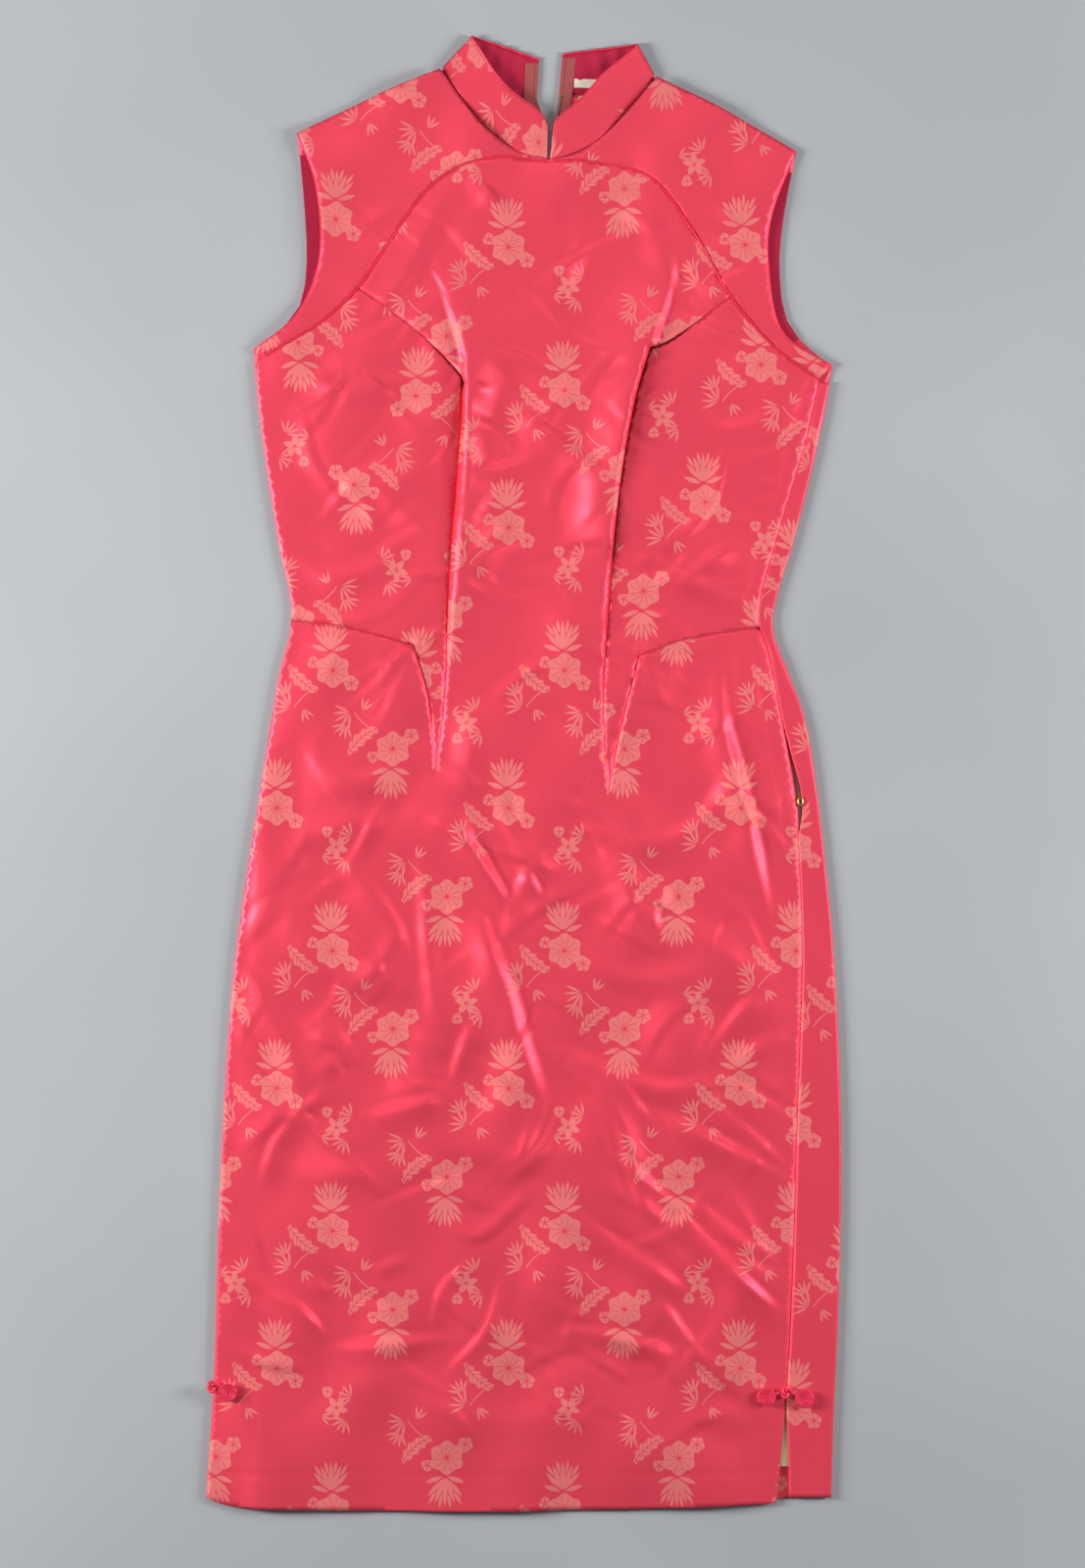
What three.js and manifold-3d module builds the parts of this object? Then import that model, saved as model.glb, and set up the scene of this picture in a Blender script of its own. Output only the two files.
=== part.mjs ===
// A sleeveless cheongsam laid flat, front up. Millimetres, +X to the viewer's right, +Y to the collar,
// +Z up from the surface it lies on. The origin is under the middle of the garment.
import * as THREE from 'three';
import Module from 'manifold-3d';
import { mergeVertices } from 'three/addons/utils/BufferGeometryUtils.js';

const wasm = await Module();
wasm.setup();

// Driving sizes
const CLOTH = 1.2; // wall of a satin panel with its seam allowances
const THIN = 0.8; // wall of a lining, a facing, a zip tape or a row of teeth
const SEAM_GAP = 0.3; // clearance where two pieces meet
const INSIDE_Z = CLOTH + SEAM_GAP; // top of the back panels plus the clearance
const FRONT_Z = 2.7; // underside of the front panels, over the facings and tapes
const EDGE_DROP = 1.1; // how far the front comes down to the back at the left side seam
const EDGE_REACH = 14; // width over which it comes down
const GRID = 26; // spacing of the front's loft sections
const FOLD_RADIUS = FRONT_Z / 2; // middle line of the turned edge on the right
const TURN_TOP = 298.6; // the back turns round the side below this height, at the top of the zip
const TAPE_WIDTH = 10;
const TEETH_WIDTH = 2.4;
const DISC_DIAMETER = 15.5;
const DISC_HEIGHT = 3.4;
const KNOT_DIAMETER = 8.2;
const KNOT_HEIGHT = 5;

// Edges of the laid garment, each a row per key point. Columns: x, y.
const HEM = [[-242.6, -553.5], [-207, -561.5], [-82, -564], [80, -562.4], [192.4, -558]];
const LEFT_SIDE = [[-206.6, 324], [-200.6, 262], [-188, 179], [-177.4, 121], [-188.6, 67], [-203, -23], [-217, -113],
  [-226, -203], [-233, -338], [-236.6, -458], [-242.6, -553.5]];
const RIGHT_FOLD = [[235, -553.5], [236.6, -496], [240.4, -406], [242.4, -286], [238.1, -158], [229.1, -57], [217.1, 31],
  [203.6, 73], [190.6, 108], [193.1, 134], [206.6, 179], [226.9, 262], [235.4, 311]];
const ARMHOLE_BACK_LEFT = [[-172.9, 489], [-167.8, 433], [-166.3, 386], [-174.4, 352], [-206.6, 324]];
const ARMHOLE_BACK_RIGHT = [[208.1, 475.5], [198.4, 424], [195.4, 382], [203.6, 341], [235.4, 311]];
const ARMHOLE_FRONT_LEFT = [[-172.9, 489], [-158.6, 449], [-155.6, 395], [-174, 350], [-206.6, 324]];
const ARMHOLE_FRONT_RIGHT = [[208.1, 475.5], [189.4, 427.5], [186.6, 390], [197, 338], [235.1, 312]];
const SHOULDER_LEFT = [[-64.1, 537.8], [-112.9, 518], [-172.9, 489]];
const SHOULDER_RIGHT = [[101.6, 531.8], [149.6, 509], [208.1, 475.5]];
const NECK_FRONT_LEFT = [[17.6, 468.9], [-3.4, 474.6], [-31.8, 495], [-64.1, 537.8]];
const NECK_FRONT_RIGHT = [[19.9, 468.9], [43.1, 475], [69.4, 495], [101.6, 531.8]];
const NECK_BACK_LEFT = [[9.8, 516], [-29.6, 521.2], [-64.1, 537.8]];
const NECK_BACK_RIGHT = [[26.9, 518.6], [67.9, 521.2], [101.6, 531.8]];
const BACK_EDGE_LEFT = [[9.8, 516], [15, 500], [19.6, 478]];
const BACK_EDGE_RIGHT = [[26.9, 518.6], [23.4, 500], [20.2, 478]];

// Seams of the front. Columns: x, y.
const YOKE_LEFT = [[19, 468], [-28, 469.6], [-68.6, 451], [-110.6, 395], [-126.4, 371], [-159, 342], [-202, 317]];
const YOKE_RIGHT = [[19, 468], [52, 467], [97, 455], [132.4, 409], [157.9, 364], [192.4, 325], [226.1, 301]];
const BUST_LEFT = [[-126.4, 371], [-83, 339], [-48.4, 304.5], [-47, 292]];
const BUST_RIGHT = [[157.9, 364], [113.6, 332], [96.4, 325]];
const TAIL_LEFT = [[-47, 292], [-50, 240], [-56.6, 157], [-60.4, 64], [-67.5, 0]];
const TAIL_RIGHT = [[96.4, 325], [84.4, 283], [72, 210], [63.4, 106], [61, 50], [65, -15]];
const DART_LEFT = [[-85, 98.2], [-73, 58], [-67.5, 0]];
const DART_RIGHT = [[88.1, 90], [74.6, 34.5], [65, -15]];
const WAIST_LEFT = [[-178, 117.5], [-129, 110], [-85, 98.2]];
const WAIST_RIGHT = [[88.1, 90], [127, 103], [182.6, 112]];

// Front edge of the side zip and the side seam under it, from the underarm to the hem. Columns: x, y.
const ZIP_EDGE = [[226.1, 301], [217.5, 262], [207.4, 225], [195.4, 186], [179.3, 122], [187.1, 92], [200.6, 23], [209.3, -27],
  [209.6, -49.5]];
const SIDE_SEAM = [[209.6, -49.5], [212.6, -140], [208.4, -275], [205.1, -381], [200, -482], [192.4, -558]];
// Facing edge, on the back panel that turns round to the front. Column open: distance from the front's edge.
const OPENING = [
  { y: 301, open: 0.3 }, { y: 40, open: 0.3 }, { y: 14, open: 2 }, { y: -10, open: 4.4 }, { y: -28, open: 3.6 },
  { y: -46, open: 0.3 }, { y: -482, open: 0.3 }, { y: -520, open: 5.5 }, { y: -560, open: 10.5 },
];

// Collar halves, a row per section of the band. Columns: x and y at the seam, x and y at the free edge.
const COLLAR_LEFT_FRONT = [[17.6, 469.4, 17.9, 492], [8, 471.3, 15.8, 499.5], [-3.4, 475.2, 8.6, 507.8],
  [-18.4, 483.8, -0.4, 514.1], [-31.8, 495.6, -11.6, 522.8], [-45.4, 512.1, -22.8, 535.9], [-54.4, 524.8, -31.1, 549],
  [-60.8, 538, -39.4, 561.8]];
const COLLAR_LEFT_BACK = [[-60.8, 539.4, -39.4, 562.9], [-48.4, 530, -25.9, 558.8], [-29.6, 521.6, -10.9, 553.9],
  [-9.4, 517.2, 1.1, 549.4], [9.8, 516.5, 11.6, 545.6]];
const COLLAR_RIGHT_FRONT = [[20, 469.4, 22.9, 494.2], [31.9, 471.4, 25.9, 500.2], [43.1, 475.5, 34.1, 507],
  [55.9, 483, 43.1, 514.1], [69.4, 495.5, 52.1, 523.9], [82.9, 510.5, 61.9, 534.8], [93.4, 522.5, 79.1, 549],
  [98.4, 532.4, 86.4, 555.6]];
const COLLAR_RIGHT_BACK = [[98.4, 534, 86.4, 556.6], [86.6, 527.2, 74.6, 555.4], [67.9, 521.8, 58.1, 553.5],
  [47.6, 519.6, 43.1, 551.6], [26.9, 519.2, 29.5, 549.8]];

// Loft of the front: folds that stand above it. Columns: ends x1, y1 to x2, y2, half width and height.
const FRONT_FOLDS = [
  { x1: -40, y1: 380, x2: -36, y2: 150, wide: 30, high: 1.9 },
  { x1: 84, y1: 385, x2: 52, y2: 150, wide: 28, high: 1.6 },
  { x1: -170, y1: 60, x2: -196, y2: -160, wide: 34, high: 0.9 },
  { x1: 175, y1: 80, x2: 190, y2: -120, wide: 32, high: 1.1 },
  { x1: -20, y1: -120, x2: 14, y2: -250, wide: 40, high: 1 },
  { x1: 30, y1: -215, x2: 150, y2: -245, wide: 36, high: 1.1 },
  { x1: 120, y1: -330, x2: 200, y2: -420, wide: 34, high: 1 },
  { x1: -150, y1: -225, x2: -80, y2: -270, wide: 40, high: 0.9 },
  { x1: -20, y1: 300, x2: 70, y2: 190, wide: 36, high: 0.8 },
];

// Frog fastenings. Columns: piece name, centre x, y, shape.
const FROGS = [
  { name: 'frog_disc_right_front', x: 185.6, y: -476.5, shape: 'disc' },
  { name: 'frog_disc_right_back', x: 214.6, y: -478, shape: 'disc' },
  { name: 'frog_knot_right', x: 200.2, y: -472.5, shape: 'knot' },
  { name: 'frog_disc_left', x: -225.6, y: -473, shape: 'disc' },
  { name: 'frog_knot_left', x: -237.4, y: -468.2, shape: 'knot' },
];

const SATIN = new THREE.MeshStandardMaterial({ color: 0xf0506e, roughness: 0.42, metalness: 0 });
const INNER_SATIN = new THREE.MeshStandardMaterial({ color: 0xb82f4b, roughness: 0.6, metalness: 0 });
const LINING = new THREE.MeshStandardMaterial({ color: 0xcbb08c, roughness: 0.8, metalness: 0 });
const TAPE = new THREE.MeshStandardMaterial({ color: 0x9c4a44, roughness: 0.8, metalness: 0 });
const LABEL = new THREE.MeshStandardMaterial({ color: 0xe6dcc6, roughness: 0.9, metalness: 0 });
const NICKEL = new THREE.MeshStandardMaterial({ color: 0xb9b6ae, roughness: 0.35, metalness: 1 });
const BRASS = new THREE.MeshStandardMaterial({ color: 0xc8a15a, roughness: 0.35, metalness: 1 });

const garment = new THREE.Group();

// A smooth line through the rows of a table, as points about 12 mm apart.
function smooth(rows, step = 12) {
  const curve = new THREE.SplineCurve(rows.map(([x, y]) => new THREE.Vector2(x, y)));
  return curve.getSpacedPoints(Math.max(2, Math.round(curve.getLength() / step)));
}

function reversed(points) {
  return [...points].reverse();
}

// The x of a smooth line at a height up the body.
function xAt(points, y) {
  for (let i = 1; i < points.length; i += 1) {
    const a = points[i - 1];
    const b = points[i];
    if ((y - a.y) * (y - b.y) <= 0 && a.y !== b.y) {
      return a.x + ((b.x - a.x) * (y - a.y)) / (b.y - a.y);
    }
  }
  return Math.abs(y - points[0].y) < Math.abs(y - points[points.length - 1].y) ? points[0].x : points[points.length - 1].x;
}

function openAt(y) {
  for (let i = 1; i < OPENING.length; i += 1) {
    const a = OPENING[i - 1];
    const b = OPENING[i];
    if (y <= a.y && y >= b.y) {
      return a.open + ((b.open - a.open) * (a.y - y)) / (a.y - b.y);
    }
  }
  return y > 0 ? OPENING[0].open : OPENING[OPENING.length - 1].open;
}

// three.js geometry to a manifold solid and back.
function solid(geometry) {
  const bare = geometry.index ? geometry.toNonIndexed() : geometry.clone();
  bare.deleteAttribute('normal');
  bare.deleteAttribute('uv');
  const merged = mergeVertices(bare, 1e-4);
  return new wasm.Manifold(new wasm.Mesh({
    numProp: 3,
    vertProperties: new Float32Array(merged.attributes.position.array),
    triVerts: new Uint32Array(merged.index.array),
  }));
}

function toGeometry(manifold) {
  const mesh = manifold.getMesh();
  const geometry = new THREE.BufferGeometry();
  geometry.setAttribute('position', new THREE.BufferAttribute(new Float32Array(mesh.vertProperties), 3));
  geometry.setIndex(new THREE.BufferAttribute(new Uint32Array(mesh.triVerts), 1));
  return geometry;
}

function addPiece(name, shape, material) {
  const geometry = shape.isBufferGeometry ? shape : toGeometry(shape);
  const mesh = new THREE.Mesh(geometry, material);
  mesh.name = name;
  garment.add(mesh);
}

// A flat slab between two heights with the given edge.
function slab(points, low, high) {
  const shape = new THREE.Shape(points);
  const geometry = new THREE.ExtrudeGeometry(shape, { depth: high - low, bevelEnabled: false });
  geometry.translate(0, 0, low);
  return geometry;
}

// A thin upright blade along a seam: what it takes away is the clearance between two panels.
function blade(points, half = SEAM_GAP / 2) {
  const left = [];
  const right = [];
  points.forEach((point, i) => {
    const before = points[Math.max(0, i - 1)];
    const after = points[Math.min(points.length - 1, i + 1)];
    const along = after.clone().sub(before).normalize();
    const end = i === 0 ? -1 : Number(i === points.length - 1);
    const centre = point.clone().addScaledVector(along, end * half);
    left.push(new THREE.Vector2(centre.x - along.y * half, centre.y + along.x * half));
    right.push(new THREE.Vector2(centre.x + along.y * half, centre.y - along.x * half));
  });
  return solid(slab([...right, ...reversed(left)], -5, 40));
}

// A closed wall between an upper and a lower sheet of points, both rows by columns.
function wall(rows, columns, upper, lower) {
  const top = [];
  const bottom = [];
  for (let i = 0; i < rows; i += 1) {
    for (let j = 0; j < columns; j += 1) {
      top.push(upper(i, j));
      bottom.push(lower(i, j));
    }
  }
  const corners = [];
  const face = (a, b, c) => corners.push(a, b, c);
  const at = (sheet, i, j) => sheet[i * columns + j];
  for (let i = 0; i < rows - 1; i += 1) {
    for (let j = 0; j < columns - 1; j += 1) {
      face(at(top, i, j), at(top, i, j + 1), at(top, i + 1, j + 1));
      face(at(top, i, j), at(top, i + 1, j + 1), at(top, i + 1, j));
      face(at(bottom, i, j), at(bottom, i + 1, j + 1), at(bottom, i, j + 1));
      face(at(bottom, i, j), at(bottom, i + 1, j), at(bottom, i + 1, j + 1));
    }
  }
  const rim = [];
  for (let j = 0; j < columns; j += 1) rim.push([0, j]);
  for (let i = 1; i < rows; i += 1) rim.push([i, columns - 1]);
  for (let j = columns - 2; j >= 0; j -= 1) rim.push([rows - 1, j]);
  for (let i = rows - 2; i > 0; i -= 1) rim.push([i, 0]);
  rim.forEach(([i, j], k) => {
    const [m, n] = rim[(k + 1) % rim.length];
    face(at(top, i, j), at(bottom, m, n), at(top, m, n));
    face(at(top, i, j), at(bottom, i, j), at(bottom, m, n));
  });
  const geometry = new THREE.BufferGeometry();
  const flat = new Float32Array(corners.flatMap((p) => [p.x, p.y, p.z]));
  geometry.setAttribute('position', new THREE.BufferAttribute(flat, 3));
  return geometry;
}

// A wall of even thickness about a sheet of middle points.
function clothWall(sheet, thickness) {
  const rows = sheet.length;
  const columns = sheet[0].length;
  const normalAt = (i, j) => {
    const down = sheet[Math.min(rows - 1, i + 1)][j].clone().sub(sheet[Math.max(0, i - 1)][j]);
    const across = sheet[i][Math.min(columns - 1, j + 1)].clone().sub(sheet[i][Math.max(0, j - 1)]);
    return across.cross(down).normalize();
  };
  const offset = (side) => (i, j) => sheet[i][j].clone().addScaledVector(normalAt(i, j), (side * thickness) / 2);
  return wall(rows, columns, offset(1), offset(-1));
}

// Lines shared by the pieces.
const leftSide = smooth(LEFT_SIDE, 30);
const rightFold = smooth(RIGHT_FOLD, 30);
const zipEdge = smooth(ZIP_EDGE, 22);
const sideSeam = smooth(SIDE_SEAM, 40);
const frontRight = [...zipEdge, ...sideSeam.slice(1)];
const hem = smooth(HEM, 60);
const yokeLeft = smooth(YOKE_LEFT, 16);
const yokeRight = smooth(YOKE_RIGHT, 16);
const neckFrontLeft = smooth(NECK_FRONT_LEFT);
const neckFrontRight = smooth(NECK_FRONT_RIGHT);
const neckBackLeft = smooth(NECK_BACK_LEFT);
const neckBackRight = smooth(NECK_BACK_RIGHT);
const tailLeft = smooth(TAIL_LEFT, 24);
const tailRight = smooth(TAIL_RIGHT, 24);
const bustLeft = smooth(BUST_LEFT, 14);
const bustRight = smooth(BUST_RIGHT, 14);
const dartLeft = smooth(DART_LEFT, 18);
const dartRight = smooth(DART_RIGHT, 18);
const waistLeft = smooth(WAIST_LEFT, 24);
const waistRight = smooth(WAIST_RIGHT, 24);

// Underside of the front: level over the back, down at the left edge, up along each fold.
function frontUnder(x, y) {
  const edge = x - xAt(leftSide, Math.min(y, 324));
  let z = FRONT_Z - (y < 330 ? EDGE_DROP * Math.exp(-Math.max(0, edge) / EDGE_REACH) : 0);
  FRONT_FOLDS.forEach(({ x1, y1, x2, y2, wide, high }) => {
    const long = Math.hypot(x2 - x1, y2 - y1);
    const along = ((x - x1) * (x2 - x1) + (y - y1) * (y2 - y1)) / long;
    const across = ((x - x1) * (y2 - y1) - (y - y1) * (x2 - x1)) / long;
    const past = Math.max(0, -along, along - long) / wide;
    const beside = across / wide;
    z += high * Math.exp(-2 * (past * past + beside * beside));
  });
  return z;
}

// A front panel: the loft over its edge's box, cut to the edge, less the clearances at its seams.
function frontPanel(edge, blades) {
  const xs = edge.map((p) => p.x);
  const ys = edge.map((p) => p.y);
  const low = new THREE.Vector2(Math.min(...xs) - 3, Math.min(...ys) - 3);
  const high = new THREE.Vector2(Math.max(...xs) + 3, Math.max(...ys) + 3);
  const columns = Math.ceil((high.x - low.x) / GRID) + 1;
  const rows = Math.ceil((high.y - low.y) / GRID) + 1;
  const point = (i, j, lift) => {
    const x = low.x + ((high.x - low.x) * j) / (columns - 1);
    const y = low.y + ((high.y - low.y) * i) / (rows - 1);
    return new THREE.Vector3(x, y, frontUnder(x, y) + lift);
  };
  const sheet = solid(wall(rows, columns, (i, j) => point(i, j, CLOTH), (i, j) => point(i, j, 0)));
  let panel = sheet.intersect(solid(slab(edge, -5, 40)));
  blades.forEach((cut) => {
    panel = panel.subtract(cut);
  });
  return panel;
}

// The largest body left after a cut, which drops the slivers at the corners of seams.
function largest(manifold) {
  const bodies = manifold.decompose();
  return bodies.reduce((best, body) => (body.volume() > best.volume() ? body : best));
}

const collarBlade = [blade([...reversed(neckFrontLeft), ...neckFrontRight], 2 * SEAM_GAP)];
const yokeBlades = [blade(yokeLeft), blade(yokeRight)];
const leftBlades = [blade(bustLeft), blade(tailLeft), blade(dartLeft), blade(waistLeft)];
const rightBlades = [blade(bustRight), blade(tailRight), blade(dartRight), blade(waistRight)];

// Where the seams meet, each line of the front is split at the shared points.
const splitAt = (points, x, y) => {
  const distances = points.map((p) => Math.hypot(p.x - x, p.y - y));
  return distances.indexOf(Math.min(...distances));
};
const yokeLeftBust = splitAt(yokeLeft, ...BUST_LEFT[0]);
const yokeRightBust = splitAt(yokeRight, ...BUST_RIGHT[0]);
const zipWaist = splitAt(frontRight, ...WAIST_RIGHT[2]);
const sideWaist = splitAt(leftSide, ...WAIST_LEFT[0]);

const mainEdge = [
  ...hem,
  ...reversed(frontRight.slice(zipWaist, -1)),
  ...reversed(waistRight).slice(0, -1), ...dartRight.slice(0, -1), ...reversed(tailRight).slice(0, -1),
  ...reversed(bustRight).slice(0, -1), ...reversed(yokeRight.slice(0, yokeRightBust + 1)),
  ...yokeLeft.slice(1, yokeLeftBust + 1), ...bustLeft.slice(1), ...tailLeft.slice(1),
  ...reversed(dartLeft).slice(1), ...reversed(waistLeft).slice(1), ...leftSide.slice(sideWaist + 1, -1),
];
const sideFrontLeftEdge = [
  ...yokeLeft.slice(yokeLeftBust), ...leftSide.filter((p) => p.y < 314 && p.y > 122), ...waistLeft,
  ...dartLeft.slice(1), ...reversed(tailLeft).slice(1), ...reversed(bustLeft).slice(1, -1),
];
const sideFrontRightEdge = [
  ...reversed(waistRight), ...dartRight.slice(1), ...reversed(tailRight).slice(1), ...reversed(bustRight).slice(1),
  ...yokeRight.slice(yokeRightBust + 1), ...zipEdge.filter((p) => p.y < 299 && p.y > 116),
];
const armholeFrontLeft = smooth(ARMHOLE_FRONT_LEFT, 16);
const armholeFrontRight = smooth(ARMHOLE_FRONT_RIGHT, 16);
const yokeLeftEdge = [
  ...yokeLeft, ...reversed(armholeFrontLeft), ...reversed(smooth(SHOULDER_LEFT, 60)).slice(1),
  ...reversed(neckFrontLeft).slice(1),
];
const yokeRightEdge = [
  ...yokeRight, ...reversed(armholeFrontRight), ...reversed(smooth(SHOULDER_RIGHT, 60)).slice(1),
  ...reversed(neckFrontRight).slice(1),
];

const sideBlade = blade(frontRight);
addPiece('main_front', largest(frontPanel(mainEdge, [...yokeBlades, ...leftBlades, ...rightBlades, ...collarBlade, sideBlade])), SATIN);
addPiece('side_front_left', largest(frontPanel(sideFrontLeftEdge, [...yokeBlades, ...leftBlades])), SATIN);
addPiece('side_front_right', largest(frontPanel(sideFrontRightEdge, [...yokeBlades, ...rightBlades, sideBlade])), SATIN);
addPiece('yoke_left', largest(frontPanel(yokeLeftEdge, [...yokeBlades, ...collarBlade])), SATIN);
addPiece('yoke_right', largest(frontPanel(yokeRightEdge, [...yokeBlades, ...collarBlade])), SATIN);

// Back: two halves that meet at the zip. The right half turns round the side and comes over to the front.
const armholeBackLeft = smooth(ARMHOLE_BACK_LEFT, 16);
const armholeBackRight = smooth(ARMHOLE_BACK_RIGHT, 16);
const backEdgeLeft = smooth(BACK_EDGE_LEFT);
const backEdgeRight = smooth(BACK_EDGE_RIGHT);
const hemMiddle = new THREE.Vector2(11.6, -561);
const neckBlades = [blade(neckBackLeft, 2 * SEAM_GAP), blade(neckBackRight, 2 * SEAM_GAP)];
const centreBlade = blade([new THREE.Vector2(19.9, 482), new THREE.Vector2(11.6, -570)]);
const backHalf = (edge) => solid(slab(edge, 0, CLOTH)).subtract(centreBlade).subtract(neckBlades[0]).subtract(neckBlades[1]);
const backLeftEdge = [
  new THREE.Vector2(-241.6, -553), new THREE.Vector2(-207, -560.5), hemMiddle, ...reversed(backEdgeLeft),
  ...neckBackLeft.slice(1), ...smooth(SHOULDER_LEFT, 60).slice(1), ...armholeBackLeft.slice(1), ...leftSide.slice(1, -1),
];
addPiece('back_left', largest(backHalf(backLeftEdge)), SATIN);

const turnHeights = [TURN_TOP, ...frontRight.map((p) => p.y), 40, 14, -10, -28, -520, rightFold[0].y]
  .filter((y) => y >= rightFold[0].y && y <= TURN_TOP).sort((a, b) => b - a);
const turnSheet = turnHeights.map((y) => {
  const x = xAt(rightFold, y);
  const topX = xAt(frontRight, y) + openAt(y);
  const middle = CLOTH / 2;
  const over = FRONT_Z + CLOTH / 2;
  const round = (angle) => [x - FOLD_RADIUS - CLOTH / 2 + FOLD_RADIUS * Math.sin(angle),
    (over + middle) / 2 - ((over - middle) / 2) * Math.cos(angle)];
  const section = [[x - 12, middle], [x - FOLD_RADIUS - CLOTH / 2, middle], round(Math.PI / 4), round(Math.PI / 2),
    round((3 * Math.PI) / 4), [x - FOLD_RADIUS - CLOTH / 2, over], [Math.min((x + topX) / 2, x - 3), over], [topX, over]];
  return section.map(([px, pz]) => new THREE.Vector3(px, y, pz));
});
const backRightEdge = [
  hemMiddle, ...rightFold.map((p) => new THREE.Vector2(p.y < TURN_TOP ? p.x - 8 : p.x, p.y)), ...reversed(armholeBackRight).slice(1),
  ...reversed(smooth(SHOULDER_RIGHT, 60)).slice(1), ...reversed(neckBackRight).slice(1), ...backEdgeRight.slice(1),
];
const turned = solid(clothWall(turnSheet, CLOTH));
addPiece('back_right', largest(backHalf(backRightEdge).add(turned)), SATIN);

// Armhole facings and neck linings, on the inside of the back where they show.
function facing(outer, width, side) {
  const inner = outer.map((p, i) => {
    const along = outer[Math.min(outer.length - 1, i + 1)].clone().sub(outer[Math.max(0, i - 1)]).normalize();
    return new THREE.Vector2(p.x - side * along.y * width, p.y + side * along.x * width);
  });
  return side > 0 ? [...outer, ...reversed(inner)] : [...inner, ...reversed(outer)];
}
const FACING_WIDTH = 16;
const facingLeft = armholeBackLeft.filter((p) => p.y < 478 && p.y > 334);
const facingRight = armholeBackRight.filter((p) => p.y < 466 && p.y > 322);
addPiece('armhole_facing_left', slab(facing(facingLeft, FACING_WIDTH, 1), INSIDE_Z, INSIDE_Z + THIN), INNER_SATIN);
addPiece('armhole_facing_right', slab(facing(facingRight, FACING_WIDTH, -1), INSIDE_Z, INSIDE_Z + THIN), INNER_SATIN);
const liningRows = (rows) => slab(rows.map(([x, y]) => new THREE.Vector2(x, y)), INSIDE_Z, INSIDE_Z + THIN);
addPiece('neck_lining_left', liningRows([[-10, 462], [3, 462], [-1, 500], [-4, 515.5], [-32, 520.5], [-24, 488]]), LINING);
addPiece('neck_lining_right', liningRows([[37, 462], [52, 466], [70, 492], [74, 520.5], [42, 517.8], [39, 500]]), LINING);
addPiece('slit_lining', liningRows([[188, -530], [206, -530], [206, -478], [190, -478]]), LINING);

// Collar: each half runs from the front notch to its folded tip and back to the zip.
function collar(front, back, rise) {
  const rows = 4;
  const low = CLOTH / 2;
  const section = ([bx, by, tx, ty], z) => Array.from({ length: rows }, (_, j) => {
    const t = j / (rows - 1);
    return new THREE.Vector3(bx + (tx - bx) * t, by + (ty - by) * t, z(t));
  });
  const high = FRONT_Z + CLOTH / 2;
  const sheet = front.map((row, i) => section(row, (t) => high + rise * Math.sin((Math.PI * i) / (front.length - 1)) * t));
  const a = front[front.length - 1];
  const b = back[0];
  const outward = new THREE.Vector2(b[2] - b[0], b[3] - b[1]).normalize();
  const side = Math.sign(a[0] - front[0][0]);
  const away = new THREE.Vector2(outward.y * side, -outward.x * side);
  const radius = (high - low) / 2;
  [Math.PI / 4, Math.PI / 2, (3 * Math.PI) / 4].forEach((angle) => {
    const push = radius * Math.sin(angle);
    const row = a.map((value, k) => (value + b[k]) / 2 + push * (k % 2 ? away.y : away.x));
    sheet.push(section(row, () => (high + low) / 2 + radius * Math.cos(angle)));
  });
  back.forEach((row) => sheet.push(section(row, () => low)));
  const body = clothWall(sheet, CLOTH);
  return body;
}
const RISE = 2.2;
const flip = (geometry) => {
  const array = geometry.attributes.position.array;
  for (let i = 0; i < array.length; i += 9) {
    for (let k = 0; k < 3; k += 1) {
      const keep = array[i + 3 + k];
      array[i + 3 + k] = array[i + 6 + k];
      array[i + 6 + k] = keep;
    }
  }
  return geometry;
};
const outwardOnly = (geometry) => (solid(geometry).volume() > 0 ? geometry : flip(geometry));
addPiece('collar_left', outwardOnly(collar(COLLAR_LEFT_FRONT, COLLAR_LEFT_BACK, RISE)), SATIN);
addPiece('collar_right', outwardOnly(collar(COLLAR_RIGHT_FRONT, COLLAR_RIGHT_BACK, RISE)), SATIN);

// Zips: a tape each side of the row of teeth, from the collar down the middle of the back.
const BACK_ZIP_END = 60;
const ZIP_FOOT = new THREE.Vector2(16.6, BACK_ZIP_END);
const zipSpine = (edge, top) => [new THREE.Vector2(...top), ...edge, ZIP_FOOT];
function strip(points, from, to, low, thickness) {
  const shifted = (distance) => points.map((p) => new THREE.Vector2(p.x + distance, p.y));
  const edge = [...shifted(from), ...reversed(shifted(to))];
  return outwardOnly(slab(edge, low, low + thickness));
}
const spineLeft = zipSpine(backEdgeLeft, [11.2, 543]);
const spineRight = zipSpine(backEdgeRight, [29.8, 547]);
addPiece('back_zip_tape_left', strip(spineLeft, -TAPE_WIDTH, -TEETH_WIDTH - SEAM_GAP, INSIDE_Z, THIN), TAPE);
addPiece('back_zip_tape_right', strip(spineRight, TEETH_WIDTH + SEAM_GAP, TAPE_WIDTH, INSIDE_Z, THIN), TAPE);
addPiece('back_zip_teeth_left', strip(spineLeft, -TEETH_WIDTH, -SEAM_GAP / 2, INSIDE_Z, THIN), NICKEL);
addPiece('back_zip_teeth_right', strip(spineRight, SEAM_GAP / 2, TEETH_WIDTH, INSIDE_Z, THIN), NICKEL);

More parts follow.
